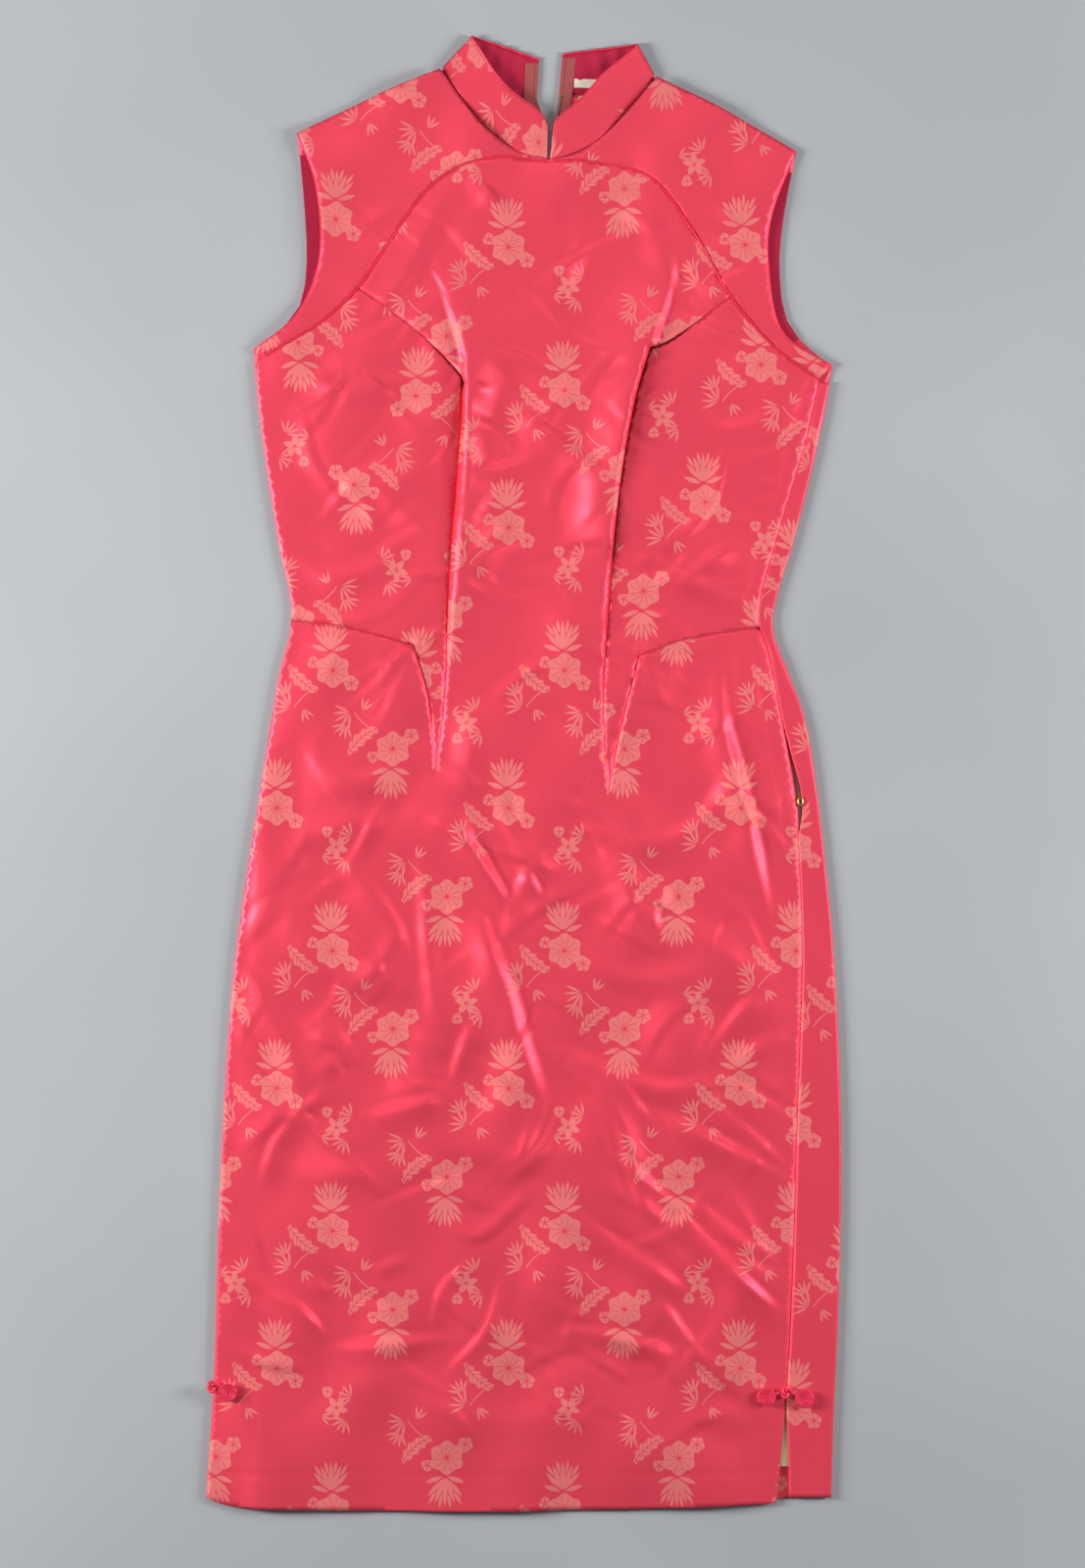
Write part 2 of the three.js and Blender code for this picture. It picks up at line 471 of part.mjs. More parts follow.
// Side zip under the front's edge, closed from the waist up, its pull lying at the lower end.
const zipRun = zipEdge.filter((p) => p.y < 300 && p.y > -40);
addPiece('side_zip_tape_front', strip(zipRun, -TAPE_WIDTH, -SEAM_GAP, INSIDE_Z, THIN), TAPE);
addPiece('side_zip_teeth', strip(zipRun, SEAM_GAP / 2, TEETH_WIDTH, INSIDE_Z, THIN), NICKEL);
const SLIDER = { x: 209.8, y: -20, wide: 2.2, long: 7, thick: 1.6 };
const slider = new THREE.BoxGeometry(SLIDER.wide, SLIDER.long, SLIDER.thick);
slider.translate(SLIDER.x + 0.2, SLIDER.y + 1, INSIDE_Z + THIN + SEAM_GAP + SLIDER.thick / 2);
addPiece('side_zip_slider', slider, BRASS);
const pull = new THREE.TorusGeometry(2.3, 0.5, 8, 20);
pull.scale(0.8, 1.3, 1);
pull.translate(SLIDER.x + 1.4, SLIDER.y - 1.5, FRONT_Z + CLOTH + SEAM_GAP + 0.6);
addPiece('side_zip_pull', pull, BRASS);

// Bare tape sewn inside the back collar.
const label = new THREE.BoxGeometry(17, 6.6, 0.6);
label.rotateZ(-0.03);
label.translate(47, 527.5, INSIDE_Z + 0.3);
addPiece('collar_tape', label, LABEL);

// Frog fastenings: coiled discs and knotted buttons, standing on the cloth.
const DISC_PROFILE = [[0, 0], [1, 0], [1, 0.7], [0.86, 1], [0.6, 0.86], [0, 0.92]];
FROGS.forEach(({ name, x, y, shape }) => {
  const tall = shape === 'disc' ? DISC_HEIGHT : KNOT_HEIGHT;
  const reach = (shape === 'disc' ? DISC_DIAMETER : KNOT_DIAMETER) / 2;
  const profile = DISC_PROFILE.map(([r, h]) => new THREE.Vector2(r * reach, h * tall));
  const frog = new THREE.LatheGeometry(profile, 20);
  frog.rotateX(Math.PI / 2);
  frog.translate(x, y, FRONT_Z + CLOTH + SEAM_GAP);
  addPiece(name, outwardOnly(frog), SATIN);
});

export default garment;
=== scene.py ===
# %% [markdown]
# # A cheongsam laid flat
# A sleeveless dress of figured satin lies front up on a plain surface. It could be sculpted as one lump,
# but a dress is sewn from flat pieces, so each piece is made on its own: its edge is drawn, filled with
# points and lifted to the height of the cloth there. Sizes are millimetres until a mesh is made, then metres.

# %% Start
import math
import random

import bpy
import numpy as np
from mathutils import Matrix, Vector
from mathutils.geometry import delaunay_2d_cdt


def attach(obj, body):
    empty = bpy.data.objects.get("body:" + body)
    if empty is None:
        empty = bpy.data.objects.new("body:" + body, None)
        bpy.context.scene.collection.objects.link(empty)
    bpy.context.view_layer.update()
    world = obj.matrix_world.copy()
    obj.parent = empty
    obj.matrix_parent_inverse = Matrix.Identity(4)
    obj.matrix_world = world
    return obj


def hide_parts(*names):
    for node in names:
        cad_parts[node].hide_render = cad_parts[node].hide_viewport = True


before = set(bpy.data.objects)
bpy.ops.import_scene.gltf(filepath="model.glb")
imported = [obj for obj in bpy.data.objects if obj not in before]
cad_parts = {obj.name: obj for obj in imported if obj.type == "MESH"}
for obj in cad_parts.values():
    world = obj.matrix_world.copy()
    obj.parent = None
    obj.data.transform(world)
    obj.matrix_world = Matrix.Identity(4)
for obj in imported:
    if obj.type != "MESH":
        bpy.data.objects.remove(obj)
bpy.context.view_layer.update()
MM = 0.001  # metres in a millimetre
CLOTH = 1.2  # wall of a panel in the solid model
FRONT_Z = 2.7  # underside of the front in the solid model
random.seed(7)

# %% [markdown]
# ## Edges and seams
# These are the lines that a cutter chalks on the cloth. They could be Bezier curves, but a table of x and y
# is easier to check against a tape measure, so each line is a few key points joined by a smooth curve.

# %% Lines of the cut
HEM = [(-242.6, -553.5), (-236, -557), (-207, -561.5), (-82, -564), (80, -562.4), (192.4, -558)]
LEFT_SIDE = [(-206.6, 324), (-200.6, 262), (-188, 179), (-177.4, 121), (-188.6, 67), (-203, -23),
             (-217, -113), (-226, -203), (-233, -338), (-236.6, -458), (-242.6, -553.5)]
RIGHT_FOLD = [(235, -553.5), (236.6, -496), (240.4, -406), (242.4, -286), (238.1, -158), (229.1, -57),
              (217.1, 31), (203.6, 73), (190.6, 108), (193.1, 134), (206.6, 179), (226.9, 262), (235.4, 311)]
ARMHOLE_BACK_LEFT = [(-172.9, 489), (-167.8, 433), (-166.3, 386), (-174.4, 352), (-206.6, 324)]
ARMHOLE_BACK_RIGHT = [(208.1, 475.5), (198.4, 424), (195.4, 382), (203.6, 341), (235.4, 311)]
ARMHOLE_FRONT_LEFT = [(-172.9, 489), (-158.6, 449), (-155.6, 395), (-174, 350), (-206.6, 324)]
ARMHOLE_FRONT_RIGHT = [(208.1, 475.5), (189.4, 427.5), (186.6, 390), (197, 338), (235.1, 312)]
SHOULDER_LEFT = [(-64.1, 537.8), (-112.9, 518), (-172.9, 489)]
SHOULDER_RIGHT = [(101.6, 531.8), (149.6, 509), (208.1, 475.5)]
NECK_FRONT_LEFT = [(17.6, 468.9), (-3.4, 474.6), (-31.8, 495), (-64.1, 537.8)]
NECK_FRONT_RIGHT = [(19.9, 468.9), (43.1, 475), (69.4, 495), (101.6, 531.8)]
NECK_BACK_LEFT = [(9.8, 516), (-29.6, 521.2), (-64.1, 537.8)]
NECK_BACK_RIGHT = [(26.9, 518.6), (67.9, 521.2), (101.6, 531.8)]
BACK_EDGE_LEFT = [(9.8, 516), (15, 500), (19.6, 478)]
BACK_EDGE_RIGHT = [(26.9, 518.6), (23.4, 500), (20.2, 478)]
YOKE_LEFT = [(19, 468), (-28, 469.6), (-68.6, 451), (-110.6, 395), (-126.4, 371), (-159, 342), (-202, 317)]
YOKE_RIGHT = [(19, 468), (52, 467), (97, 455), (132.4, 409), (157.9, 364), (192.4, 325), (226.1, 301)]
BUST_LEFT = [(-126.4, 371), (-83, 339), (-48.4, 304.5), (-47, 292)]
BUST_RIGHT = [(157.9, 364), (113.6, 332), (96.4, 325)]
TAIL_LEFT = [(-47, 292), (-50, 240), (-56.6, 157), (-60.4, 64), (-67.5, 0)]
TAIL_RIGHT = [(96.4, 325), (84.4, 283), (72, 210), (63.4, 106), (61, 50), (65, -15)]
DART_LEFT = [(-85, 98.2), (-73, 58), (-67.5, 0)]
DART_RIGHT = [(88.1, 90), (74.6, 34.5), (65, -15)]
WAIST_LEFT = [(-178, 117.5), (-129, 110), (-85, 98.2)]
WAIST_RIGHT = [(88.1, 90), (127, 103), (182.6, 112)]
ZIP_EDGE = [(226.1, 301), (217.5, 262), (207.4, 225), (195.4, 186), (179.3, 122), (187.1, 92), (200.6, 23),
            (209.3, -27), (209.6, -49.5)]
SIDE_SEAM = [(209.6, -49.5), (212.6, -140), (208.4, -275), (205.1, -381), (200, -482), (192.4, -558)]
OPENING = [(301, 0.3), (40, 0.3), (14, 2), (-10, 4.4), (-28, 3.6), (-46, 0.3), (-482, 0.3), (-520, 5.5),
           (-560, 10.5)]  # height, then how far the back's turned edge stands off the front's edge
PLACKET = [(219, 300), (206, 262), (197, 220), (184, 180), (171, 122), (176, 92), (188, 30), (197, -20),
           (201, -50), (207, -52)]
TUCKS = [[(-85, 98), (-133, 75), (-177, 59)], [(-85, 98), (-129, 58), (-181, 12)],
         [(-85, 98), (-110, 46), (-136, 10)], [(88, 90), (119, 79), (147, 68)],
         [(88, 90), (116, 71), (152, 38)], [(88, 90), (100, 59), (130, 2)]]
PER_SPAN = 40  # points between two key points, before they are spaced out evenly


def smooth(rows, step=6.0):
    """Evenly spaced points, about step mm apart, on a smooth curve through the rows."""
    p = np.array([rows[0], *rows, rows[-1]], float)
    dense = []
    for i in range(1, len(p) - 2):
        a, b, c, d = p[i - 1], p[i], p[i + 1], p[i + 2]
        v0, v1 = (c - a) / 2, (d - b) / 2
        t = np.linspace(0, 1, PER_SPAN, endpoint=False)[:, None]
        cubic = (2 * b - 2 * c + v0 + v1) * t ** 3
        square = (-3 * b + 3 * c - 2 * v0 - v1) * t ** 2
        dense.append(cubic + square + v0 * t + b)
    dense = np.vstack([*dense, p[-1:]])
    run = np.r_[0, np.cumsum(np.linalg.norm(np.diff(dense, axis=0), axis=1))]
    at = np.linspace(0, run[-1], max(3, int(round(run[-1] / step)) + 1))
    return np.c_[np.interp(at, run, dense[:, 0]), np.interp(at, run, dense[:, 1])]


def x_at(line, y):
    """The x of a line at heights y."""
    order = np.argsort(line[:, 1])
    return np.interp(y, line[order, 1], line[order, 0])


hem = smooth(HEM)
left_side = smooth(LEFT_SIDE)
right_fold = smooth(RIGHT_FOLD)
zip_edge = smooth(ZIP_EDGE)
side_seam = smooth(SIDE_SEAM)
front_right = np.vstack([zip_edge, side_seam[1:]])
yoke_left_seam, yoke_right_seam = smooth(YOKE_LEFT), smooth(YOKE_RIGHT)
bust_left, bust_right = smooth(BUST_LEFT), smooth(BUST_RIGHT)
tail_left, tail_right = smooth(TAIL_LEFT), smooth(TAIL_RIGHT)
dart_left, dart_right = smooth(DART_LEFT), smooth(DART_RIGHT)
waist_left, waist_right = smooth(WAIST_LEFT), smooth(WAIST_RIGHT)
neck_left, neck_right = smooth(NECK_FRONT_LEFT), smooth(NECK_FRONT_RIGHT)
print("lines made, hem", len(hem), "points")

# %% [markdown]
# ## Creases
# Stiff satin that was folded and laid out again keeps sharp little ridges. Each one is a line with a height
# and a width on its left and its right, so it can be steep on one side and soft on the other. They could come
# from a cloth simulation, but then no crease would lie where it should, so they are listed one by one.

# %% Table of creases
COLUMNS = ('line', 'high', 'left', 'right')
CREASES = [dict(zip(COLUMNS, row)) for row in [
    # skirt: small stars and long pulls
    ([(-136.1, -215.2), (-161.6, -198)], 1.3, 4, 11),
    ([(-136.1, -215.2), (-121.1, -230.2)], 1.1, 8, 4),
    ([(-154.9, -225), (-136.1, -215.2)], 0.9, 5, 8),
    ([(-55.9, -242.2), (-48.4, -216.8), (-38.6, -190.5)], 1.5, 5, 14),
    ([(-55.9, -242.2), (-86.6, -236.2)], 1, 4, 9),
    ([(-55.9, -243.8), (-85.9, -254.2), (-118.9, -261)], 1.5, 12, 4),
    ([(-52.1, -36), (-40.9, -55.5), (-19.9, -87.8), (-6.4, -107.2)], 2.6, 5, 12),
    ([(-1.9, -69), (13.1, -97.5)], 1.5, 4, 10),
    ([(-34.9, -102.8), (-19.9, -158.2)], 1.6, 5, 12),
    ([(-25.1, -121.5), (-4.1, -198), (13.1, -251.2)], 1.8, 6, 18),
    ([(29.6, -213), (61.9, -225), (103.9, -240.8), (136.9, -236.2)], 2.2, 5, 15),
    ([(138.4, -219.8), (165.4, -183), (182.6, -171)], 1.7, 5, 12),
    ([(202.1, -198), (157.9, -221.2)], 1.2, 9, 5),
    ([(93.4, -257.2), (136.9, -276.8), (180.4, -299.2), (205.9, -315.8)], 1.9, 4, 13),
    ([(154.1, -261), (175.1, -278.2), (203.6, -305.2)], 1.3, 4, 9),
    ([(29.6, -219), (70.1, -259.5), (81.4, -294), (96.4, -347.2)], 1.9, 14, 6),
    ([(40.9, -333.8), (76.1, -364.5), (101.6, -381), (123.4, -397.5)], 1.5, 5, 12),
    ([(124.9, -342.8), (148.9, -368.2), (170.6, -390), (196.9, -414)], 2.3, 3.5, 8),
    ([(133.1, -330), (157.9, -351.8), (184.9, -366.8)], 1.6, 4, 9),
    ([(26.6, -429), (52.1, -427.5), (90.4, -437.2), (123.4, -446.2)], 1.6, 5, 10),
    ([(108.4, -408), (136.1, -446.2)], 1.2, 4, 8),
    ([(-145.9, -439.5), (-91.9, -435), (-55.9, -432)], 1.4, 4, 10),
    ([(-163.9, -387.8), (-148.1, -396.8)], 0.9, 4, 7),
    ([(-112.9, -378.8), (-88.1, -370.5)], 0.8, 4, 7),
    ([(-54.4, -345.8), (-33.4, -354), (1.9, -324)], 1.2, 8, 4),
    # bodice, between the bust seams
    ([(-18.4, 294), (5.6, 270), (34.1, 247.5), (70.9, 213.8)], 1.7, 6, 13),
    ([(-37.1, 228.8), (-13.1, 232.5), (5.6, 240)], 1.6, 5, 9),
    ([(-40.9, 152.2), (-22.1, 171), (1.9, 180)], 1.8, 5, 11),
    ([(-40.9, 457.5), (-13.1, 426)], 1.4, 5, 9),
    ([(-25.9, 321.8), (-3.4, 317.2), (19.1, 306.8)], 1.4, 5, 10),
    ([(-40.9, 269.2), (-22.1, 261.8), (-10.9, 239.2)], 1.5, 5, 9),
    ([(-40.9, 295.5), (-25.9, 291.8)], 1.2, 4, 8),
    # long folds over the hips
    ([(-175.9, 74.2), (-190.9, 33), (-201.4, -21), (-204.4, -97.5), (-207.4, -158.2)], 2.6, 14, 10),
    ([(147.4, 90), (151.1, 38.2), (165.4, -17.2), (176.6, -60.8), (191.6, -128.2)], 2.8, 6, 16),
    # broad unevenness of the bodice, the hips and the skirt
    ([(19.1, 453), (30.4, 396.8), (26.6, 344.2)], 1.3, 16, 16),
    ([(-63.4, 441.8), (-82.1, 396.8), (-104.6, 366.8)], 1.2, 9, 12),
    ([(79.1, 449.2), (100.1, 411.8), (116.6, 374.2)], 1.2, 9, 12),
    ([(116.6, 441.8), (142.9, 423), (169.1, 411.8)], 1.1, 8, 5),
    ([(-153.4, 441.8), (-123.4, 419.2), (-100.9, 430.5)], 1, 8, 6),
    ([(124.1, 344.2), (154.1, 333), (184.1, 329.2)], 1.3, 6, 8),
    ([(-175.9, 306.8), (-130.9, 291.8), (-78.4, 299.2)], 1, 9, 9),
    ([(-183.4, 171.8), (-145.9, 149.2), (-100.9, 160.5)], 1.5, 8, 12),
    ([(-160.9, 239.2), (-123.4, 216.8), (-70.9, 231.8)], 1, 12, 12),
    ([(124.1, 276.8), (150.4, 261.8), (191.6, 269.2)], 1.1, 8, 8),
    ([(116.6, 141.8), (146.6, 164.2), (176.6, 171.8)], 1.4, 6, 10),
    ([(86.6, 171.8), (116.6, 149.2), (172.9, 130.5)], 1.3, 6, 10),
    ([(19.1, 126.8), (64.1, 96.8), (86.6, 66.8)], 0.9, 12, 16),
    ([(-10.9, 66.8), (49.1, 21.8), (94.1, -45.8)], 1.2, 14, 20),
    ([(79.1, -53.2), (124.1, -45.8), (157.9, -8.2)], 1.5, 7, 14),
    ([(-153.4, 6.8), (-123.4, -8.2), (-85.9, 14.2)], 1.2, 8, 12),
    ([(-175.9, -53.2), (-123.4, -38.2), (-78.4, -60.8)], 1.2, 10, 14),
    ([(-175.9, -120.8), (-138.4, -150.8), (-85.9, -165.8)], 1.1, 12, 12),
    ([(-138.4, -68.2), (-104.6, -105.8), (-85.9, -143.2)], 1.4, 7, 13),
    ([(94.1, -105.8), (139.1, -128.2), (191.6, -158.2)], 1.1, 10, 14),
    ([(49.1, -143.2), (86.6, -158.2), (139.1, -150.8)], 1.2, 8, 12),
    ([(-70.9, -278.2), (-10.9, -293.2), (49.1, -285.8)], 0.9, 12, 12),
    ([(-205.9, -293.2), (-153.4, -308.2), (-100.9, -300.8)], 0.8, 10, 12),
    ([(-220.9, -420.8), (-190.9, -458.2), (-175.9, -495.8)], 0.8, 12, 12),
    ([(-85.9, -480.8), (-25.9, -495.8), (49.1, -488.2)], 0.7, 14, 14),
    ([(124.1, -488.2), (154.1, -495.8), (184.1, -488.2)], 0.7, 10, 8),
    ([(-209.6, -165.8), (-183.4, -203.2), (-168.4, -248.2)], 1, 8, 12),
    ([(-78.4, -68.2), (-73.9, -128.2), (-66.4, -188.2)], 1.4, 9, 7),
    ([(49.1, -60.8), (79.1, -83.2), (86.6, -128.2)], 1.3, 7, 12),
    ([(-48.4, 66.8), (-40.9, 21.8), (-48.4, -23.2)], 1, 10, 16),
    # short gathers down the side zip
    ([(216.4, 284.2), (198.4, 277.5)], 0.8, 3, 5),
    ([(213.4, 271.5), (190.1, 267.8)], 1.05, 3, 5),
    ([(210.4, 258.8), (181.9, 258)], 1.3, 3, 5),
    ([(207.4, 246), (173.6, 239.2)], 0.8, 3, 5),
    ([(204.4, 233.2), (186.4, 229.5)], 1.05, 3, 5),
    ([(201.4, 220.5), (178.1, 219.8)], 1.3, 3, 5),
    ([(198.4, 207.8), (169.9, 201)], 0.8, 3, 5),
    ([(194.6, 195), (160.9, 191.2)], 1.05, 3, 5),
    ([(191.6, 182.2), (173.6, 181.5)], 1.3, 3, 5),
    ([(188.6, 169.5), (165.4, 162.8)], 0.8, 3, 5),
    ([(185.6, 156.8), (157.1, 153)], 1.05, 3, 5),
    ([(182.6, 144), (148.9, 143.2)], 1.3, 3, 5),
    ([(179.6, 131.2), (161.6, 124.5)], 0.8, 3, 5),
]]
ROUND_FOLDS = [dict(zip(COLUMNS, row)) for row in [  # the rolled edges beside the bust
    ([(-66, 384), (-56, 357), (-47, 330), (-43, 300), (-44, 240), (-48, 180), (-54, 110)], 6.2, 24, 3),
    ([(115, 390), (108, 360), (99, 334), (90, 300), (80, 262), (70, 200), (64, 150)], 5.2, 3, 24),
]]
print(len(CREASES), "creases and", len(ROUND_FOLDS), "round folds in the tables")

# %% [markdown]
# ## The height that a crease gives
# Across its line a crease is a soft ridge with a shallow trough on each side, because the cloth that stands
# up is drawn in from beside it. Along its line it fades out at both ends.

# %% Height of a crease
RIDGE_POWER = 1.6  # over 1 rounds the top, under 2 keeps it crisper than a plain bell
TROUGH = 0.35  # depth of the troughs beside a ridge, as a share of its height


def line_distance(points, line):
    """Distance to a line, the side it is on (+ left) and how far along it is, from 0 to 1."""
    best = np.full(len(points), 1e9)
    side = np.ones(len(points))
    along = np.zeros(len(points))
    lengths = np.linalg.norm(np.diff(line, axis=0), axis=1)
    total = lengths.sum()
    done = 0.0
    for a, b, length in zip(line[:-1], line[1:], lengths):
        d = (b - a) / length
        r = points - a
        t = np.clip(r @ d, 0, length)
        off = r - t[:, None] * d
        dist = np.linalg.norm(off, axis=1)
        near = dist < best
        best[near] = dist[near]
        side[near] = np.sign(d[0] * r[near, 1] - d[1] * r[near, 0])
        along[near] = (done + t[near]) / total
        done += length
    return best, side, along


def crease_height(points, rows, scale=1.0):
    """Height that the creases in rows add at the points."""
    z = np.zeros(len(points))
    for row in rows:
        line = smooth(row['line'], 8)
        reach = 3 * max(row['left'], row['right'])
        near = ((points > line.min(0) - reach) & (points < line.max(0) + reach)).all(1)
        if not near.any():
            continue
        dist, side, along = line_distance(points[near], line)
        wide = np.where(side > 0, row['left'], row['right'])
        fade = np.sin(np.pi * np.clip(along, 0.02, 0.98)) ** 0.6
        ridge = np.exp(-(dist / wide) ** RIDGE_POWER) - TROUGH * np.exp(-((dist - 1.5 * wide) / wide) ** 2)
        z[near] += scale * row['high'] * fade * ridge
    return z


print("a crease 2 mm high stands", round(float(crease_height(
    np.array([[0.0, 0.0]]), [{'line': [(-20, 0), (20, 0)], 'high': 2, 'left': 5, 'right': 5}])[0]), 2), "mm")

# %% [markdown]
# ## Unevenness between the creases
# No stretch of laid cloth is flat. Low, wide waves lie under everything, and short creases fill the room
# between the ones in the table. Both come from seeded numbers, because their exact places don't matter.

# %% Waves and small creases
FULL_TURN = 6.28
SWELL_HEIGHT = 1.25
SWELLS = [(random.uniform(0, FULL_TURN), random.uniform(0, FULL_TURN), random.uniform(60, 170),
           random.uniform(0.2, 0.55))
          for _ in range(22)]  # direction, phase, length and height of each wave


def small_creases(count):
    """Short seeded creases between the main ones: slanting on the skirt, flatter near the waist."""
    rows = []
    for _ in range(count):
        y = random.uniform(-500, 440)
        x = random.uniform(-215, 200) * (0.78 if y > 60 else 1)
        turn = random.choice((-1, 1)) * random.uniform(0.35, 1.15) * (0.6 if abs(y - 100) < 90 else 1)
        long = random.uniform(16, 48)
        bow = random.uniform(-0.3, 0.3)
        ends = [(x + long * k * math.cos(turn + bow * k), y + long * k * math.sin(turn + bow * k))
                for k in (-1, 0, 1)]
        narrow, wide = random.uniform(2.2, 4), random.uniform(5, 13)
        left = random.random() < 0.5
        rows.append({'line': ends, 'high': random.choice((1, 1, -0.8)) * random.uniform(0.35, 1.0),
                     'left': narrow if left else wide, 'right': wide if left else narrow})
    return rows


SMALL = small_creases(190)


def swell(points):
    """Low, wide unevenness of laid cloth."""
    z = np.zeros(len(points))
    for turn, phase, length, high in SWELLS:
        across = points[:, 0] * math.cos(turn) + points[:, 1] * math.sin(turn)
        z += high * np.sin(across * FULL_TURN / length + phase)
    return z * SWELL_HEIGHT


print(len(SWELLS), "waves and", len(SMALL), "small creases")

# %% [markdown]
# ## The height of the front
# The front lies on the back. Near its edges it is pressed down on it, and inside them it rides a little
# higher, over air. One function gives that height for any point, so panels that meet at a seam agree there.

# %% Height of the front
TOP, TOP_GIVE = 11, 5  # height where folds begin to be held down, and how far they may still rise
LOW, LOW_GIVE = 4.3, 1.2  # height where the back begins to hold the cloth up, and how far it may still sink
EDGE_REACH = 38  # distance from an edge at which the cloth rides at its full height
LOFT = 2.2  # air under the front, away from its edges


def settle(z):
    """Keeps the cloth clear of the back under it and its folds from standing too high."""
    z = np.where(z > TOP, TOP + TOP_GIVE * np.tanh((z - TOP) / TOP_GIVE), z)
    return np.where(z < LOW, LOW - LOW_GIVE * np.tanh((LOW - z) / LOW_GIVE), z)


def front_height(points, fold_scale=1.0):
    """Height of the front's upper side at points x, y."""
    x, y = points[:, 0], points[:, 1]
    from_left = x - x_at(left_side, np.minimum(y, 324))
    from_right = x_at(front_right, np.clip(y, -558, 300)) - x
    inside = np.clip(np.minimum(from_left, from_right) / EDGE_REACH, 0, 1)
    z = FRONT_Z + CLOTH - np.where(y < 330, 1.1 * np.exp(-np.maximum(0, from_left) / 14), 0)
    creases = crease_height(points, CREASES, 2.0) + crease_height(points, SMALL, 2.1)
    z += inside * (LOFT + swell(points)) + creases * (0.2 + 0.8 * inside)
    z += crease_height(points, ROUND_FOLDS, fold_scale)
    return settle(z)


middle = front_height(np.array([[0.0, -300.0]]))
print("the front's height at the middle of the skirt", round(float(middle[0]), 2), "mm")

# %% [markdown]
# ## Cloth panels
# A panel is one piece of the pattern. A flat grid cut to shape would leave a jagged edge, so the edge is kept
# as drawn and the inside is filled with evenly spaced points and triangles. The Solidify modifier gives the
# thin second side. Each panel's weave runs in its own direction, in metres of cloth, as it was cut.

# %% Making a panel
FINE = 3.4  # spacing of the points in a panel
SAME_POINT = 0.4  # points nearer than this to each other are one point
WEAVE = {  # piece: x and y of the pattern's start, and the turn of the cloth in degrees
    'panel_main_front': (-13.1, -439.5, 0), 'panel_side_front_left': (-128, 205, 180),
    'panel_side_front_right': (137, 222, 0), 'panel_yoke_left': (-144, 438, -4),
    'panel_yoke_right': (166, 418, 6), 'panel_back_left': (0, 0, 0), 'panel_back_right': (228, -470, 0),
    'panel_collar_left': (-60, 500, 140), 'panel_collar_right': (64, 505, 30),
}



def give_weave(mesh, name, flat_points):
    """Lays the pattern's own coordinates on a panel, in metres."""
    dx, dy, turn = WEAVE[name]
    c, s = math.cos(math.radians(turn)), math.sin(math.radians(turn))
    u = (flat_points[:, 0] - dx) * MM
    v = (flat_points[:, 1] - dy) * MM
    uv = np.c_[c * u + s * v, -s * u + c * v]
    layer = mesh.uv_layers.new(name="Weave")
    loops = np.zeros(len(mesh.loops), dtype=np.int32)
    mesh.loops.foreach_get("vertex_index", loops)
    layer.data.foreach_set("uv", uv[loops].astype(np.float32).ravel())


def make_piece(name, verts, faces, material, flat_points=None, thick=0.0):
    """A smooth mesh from points in mm, with a weave and a second side if it is cloth."""
    mesh = bpy.data.meshes.new(name)
    mesh.from_pydata([tuple(v * MM) for v in np.asarray(verts, float)], [], faces)
    mesh.update()
    if flat_points is not None:
        give_weave(mesh, name, flat_points)
    mesh.polygons.foreach_set("use_smooth", [True] * len(mesh.polygons))
    mesh.materials.append(material)
    piece = bpy.data.objects.new(name, mesh)
    bpy.context.scene.collection.objects.link(piece)
    if thick:
        wall = piece.modifiers.new("second side", 'SOLIDIFY')
        wall.thickness = thick * MM
        wall.offset = -1
    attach(piece, "root")
    return piece


def fill(edge):
    """Triangles inside an edge, with points FINE mm apart."""
    keep = [edge[0]]
    for p in edge[1:]:
        if np.linalg.norm(p - keep[-1]) > SAME_POINT:
            keep.append(p)
    if np.linalg.norm(keep[0] - keep[-1]) < SAME_POINT:
        keep.pop()
    edge = np.array(keep)
    low, high = edge.min(0), edge.max(0)
    gx = np.arange(low[0] + FINE / 2, high[0], FINE)
    gy = np.arange(low[1] + FINE / 2, high[1], FINE * 0.9)
    grid = np.array([(x + (FINE / 2 if j % 2 else 0), y) for j, y in enumerate(gy) for x in gx])
    inside = np.zeros(len(grid), bool)
    ring = np.vstack([edge, edge[:1]])
    near = np.full(len(grid), 1e9)
    for a, b in zip(ring[:-1], ring[1:]):
        cross = (a[1] > grid[:, 1]) != (b[1] > grid[:, 1])
        if a[1] != b[1]:
            xc = a[0] + (grid[:, 1] - a[1]) * (b[0] - a[0]) / (b[1] - a[1])
            inside ^= cross & (grid[:, 0] < xc)
        d = b - a
        t = np.clip(((grid - a) @ d) / (d @ d), 0, 1)
        near = np.minimum(near, np.linalg.norm(grid - a - t[:, None] * d, axis=1))
    grid = grid[inside & (near > FINE * 0.45)]
    points = [Vector(p) for p in np.vstack([edge, grid])]
    verts, _, faces, _, _, _ = delaunay_2d_cdt(points, [], [list(range(len(edge)))], 1, 1e-6)
    return np.array([tuple(v) for v in verts]), [tuple(f) for f in faces]


def nearest(line, point):
    """Index of the line's point that is nearest to a point."""
    return int(np.argmin(np.linalg.norm(line - np.array(point), axis=1)))


print(len(WEAVE), "panels will carry the weave")

# %% [markdown]
# ## Stitching and rolled edges
# A stitched line pulls the cloth down into a narrow furrow and puckers it a little on both sides. A tuck is a
# pinch that dies out. Beside the bust the main front rolls over the side front, so its edge stands proud.

# %% Front panels' own form
SEAMS = [yoke_left_seam, yoke_right_seam, bust_left, bust_right, tail_left, tail_right, dart_left, dart_right,
         waist_left, waist_right, front_right]
TUCK_LINES = [smooth(row) for row in TUCKS]
placket = smooth(PLACKET)
hem_stitch = np.array([(-239.0, -535.5), (20.0, -536.5), (194.0, -533.5)])
WALL = 0.6  # thickness of the satin with its backing
ROLL = 2.5  # radius of the rolled edge beside the bust


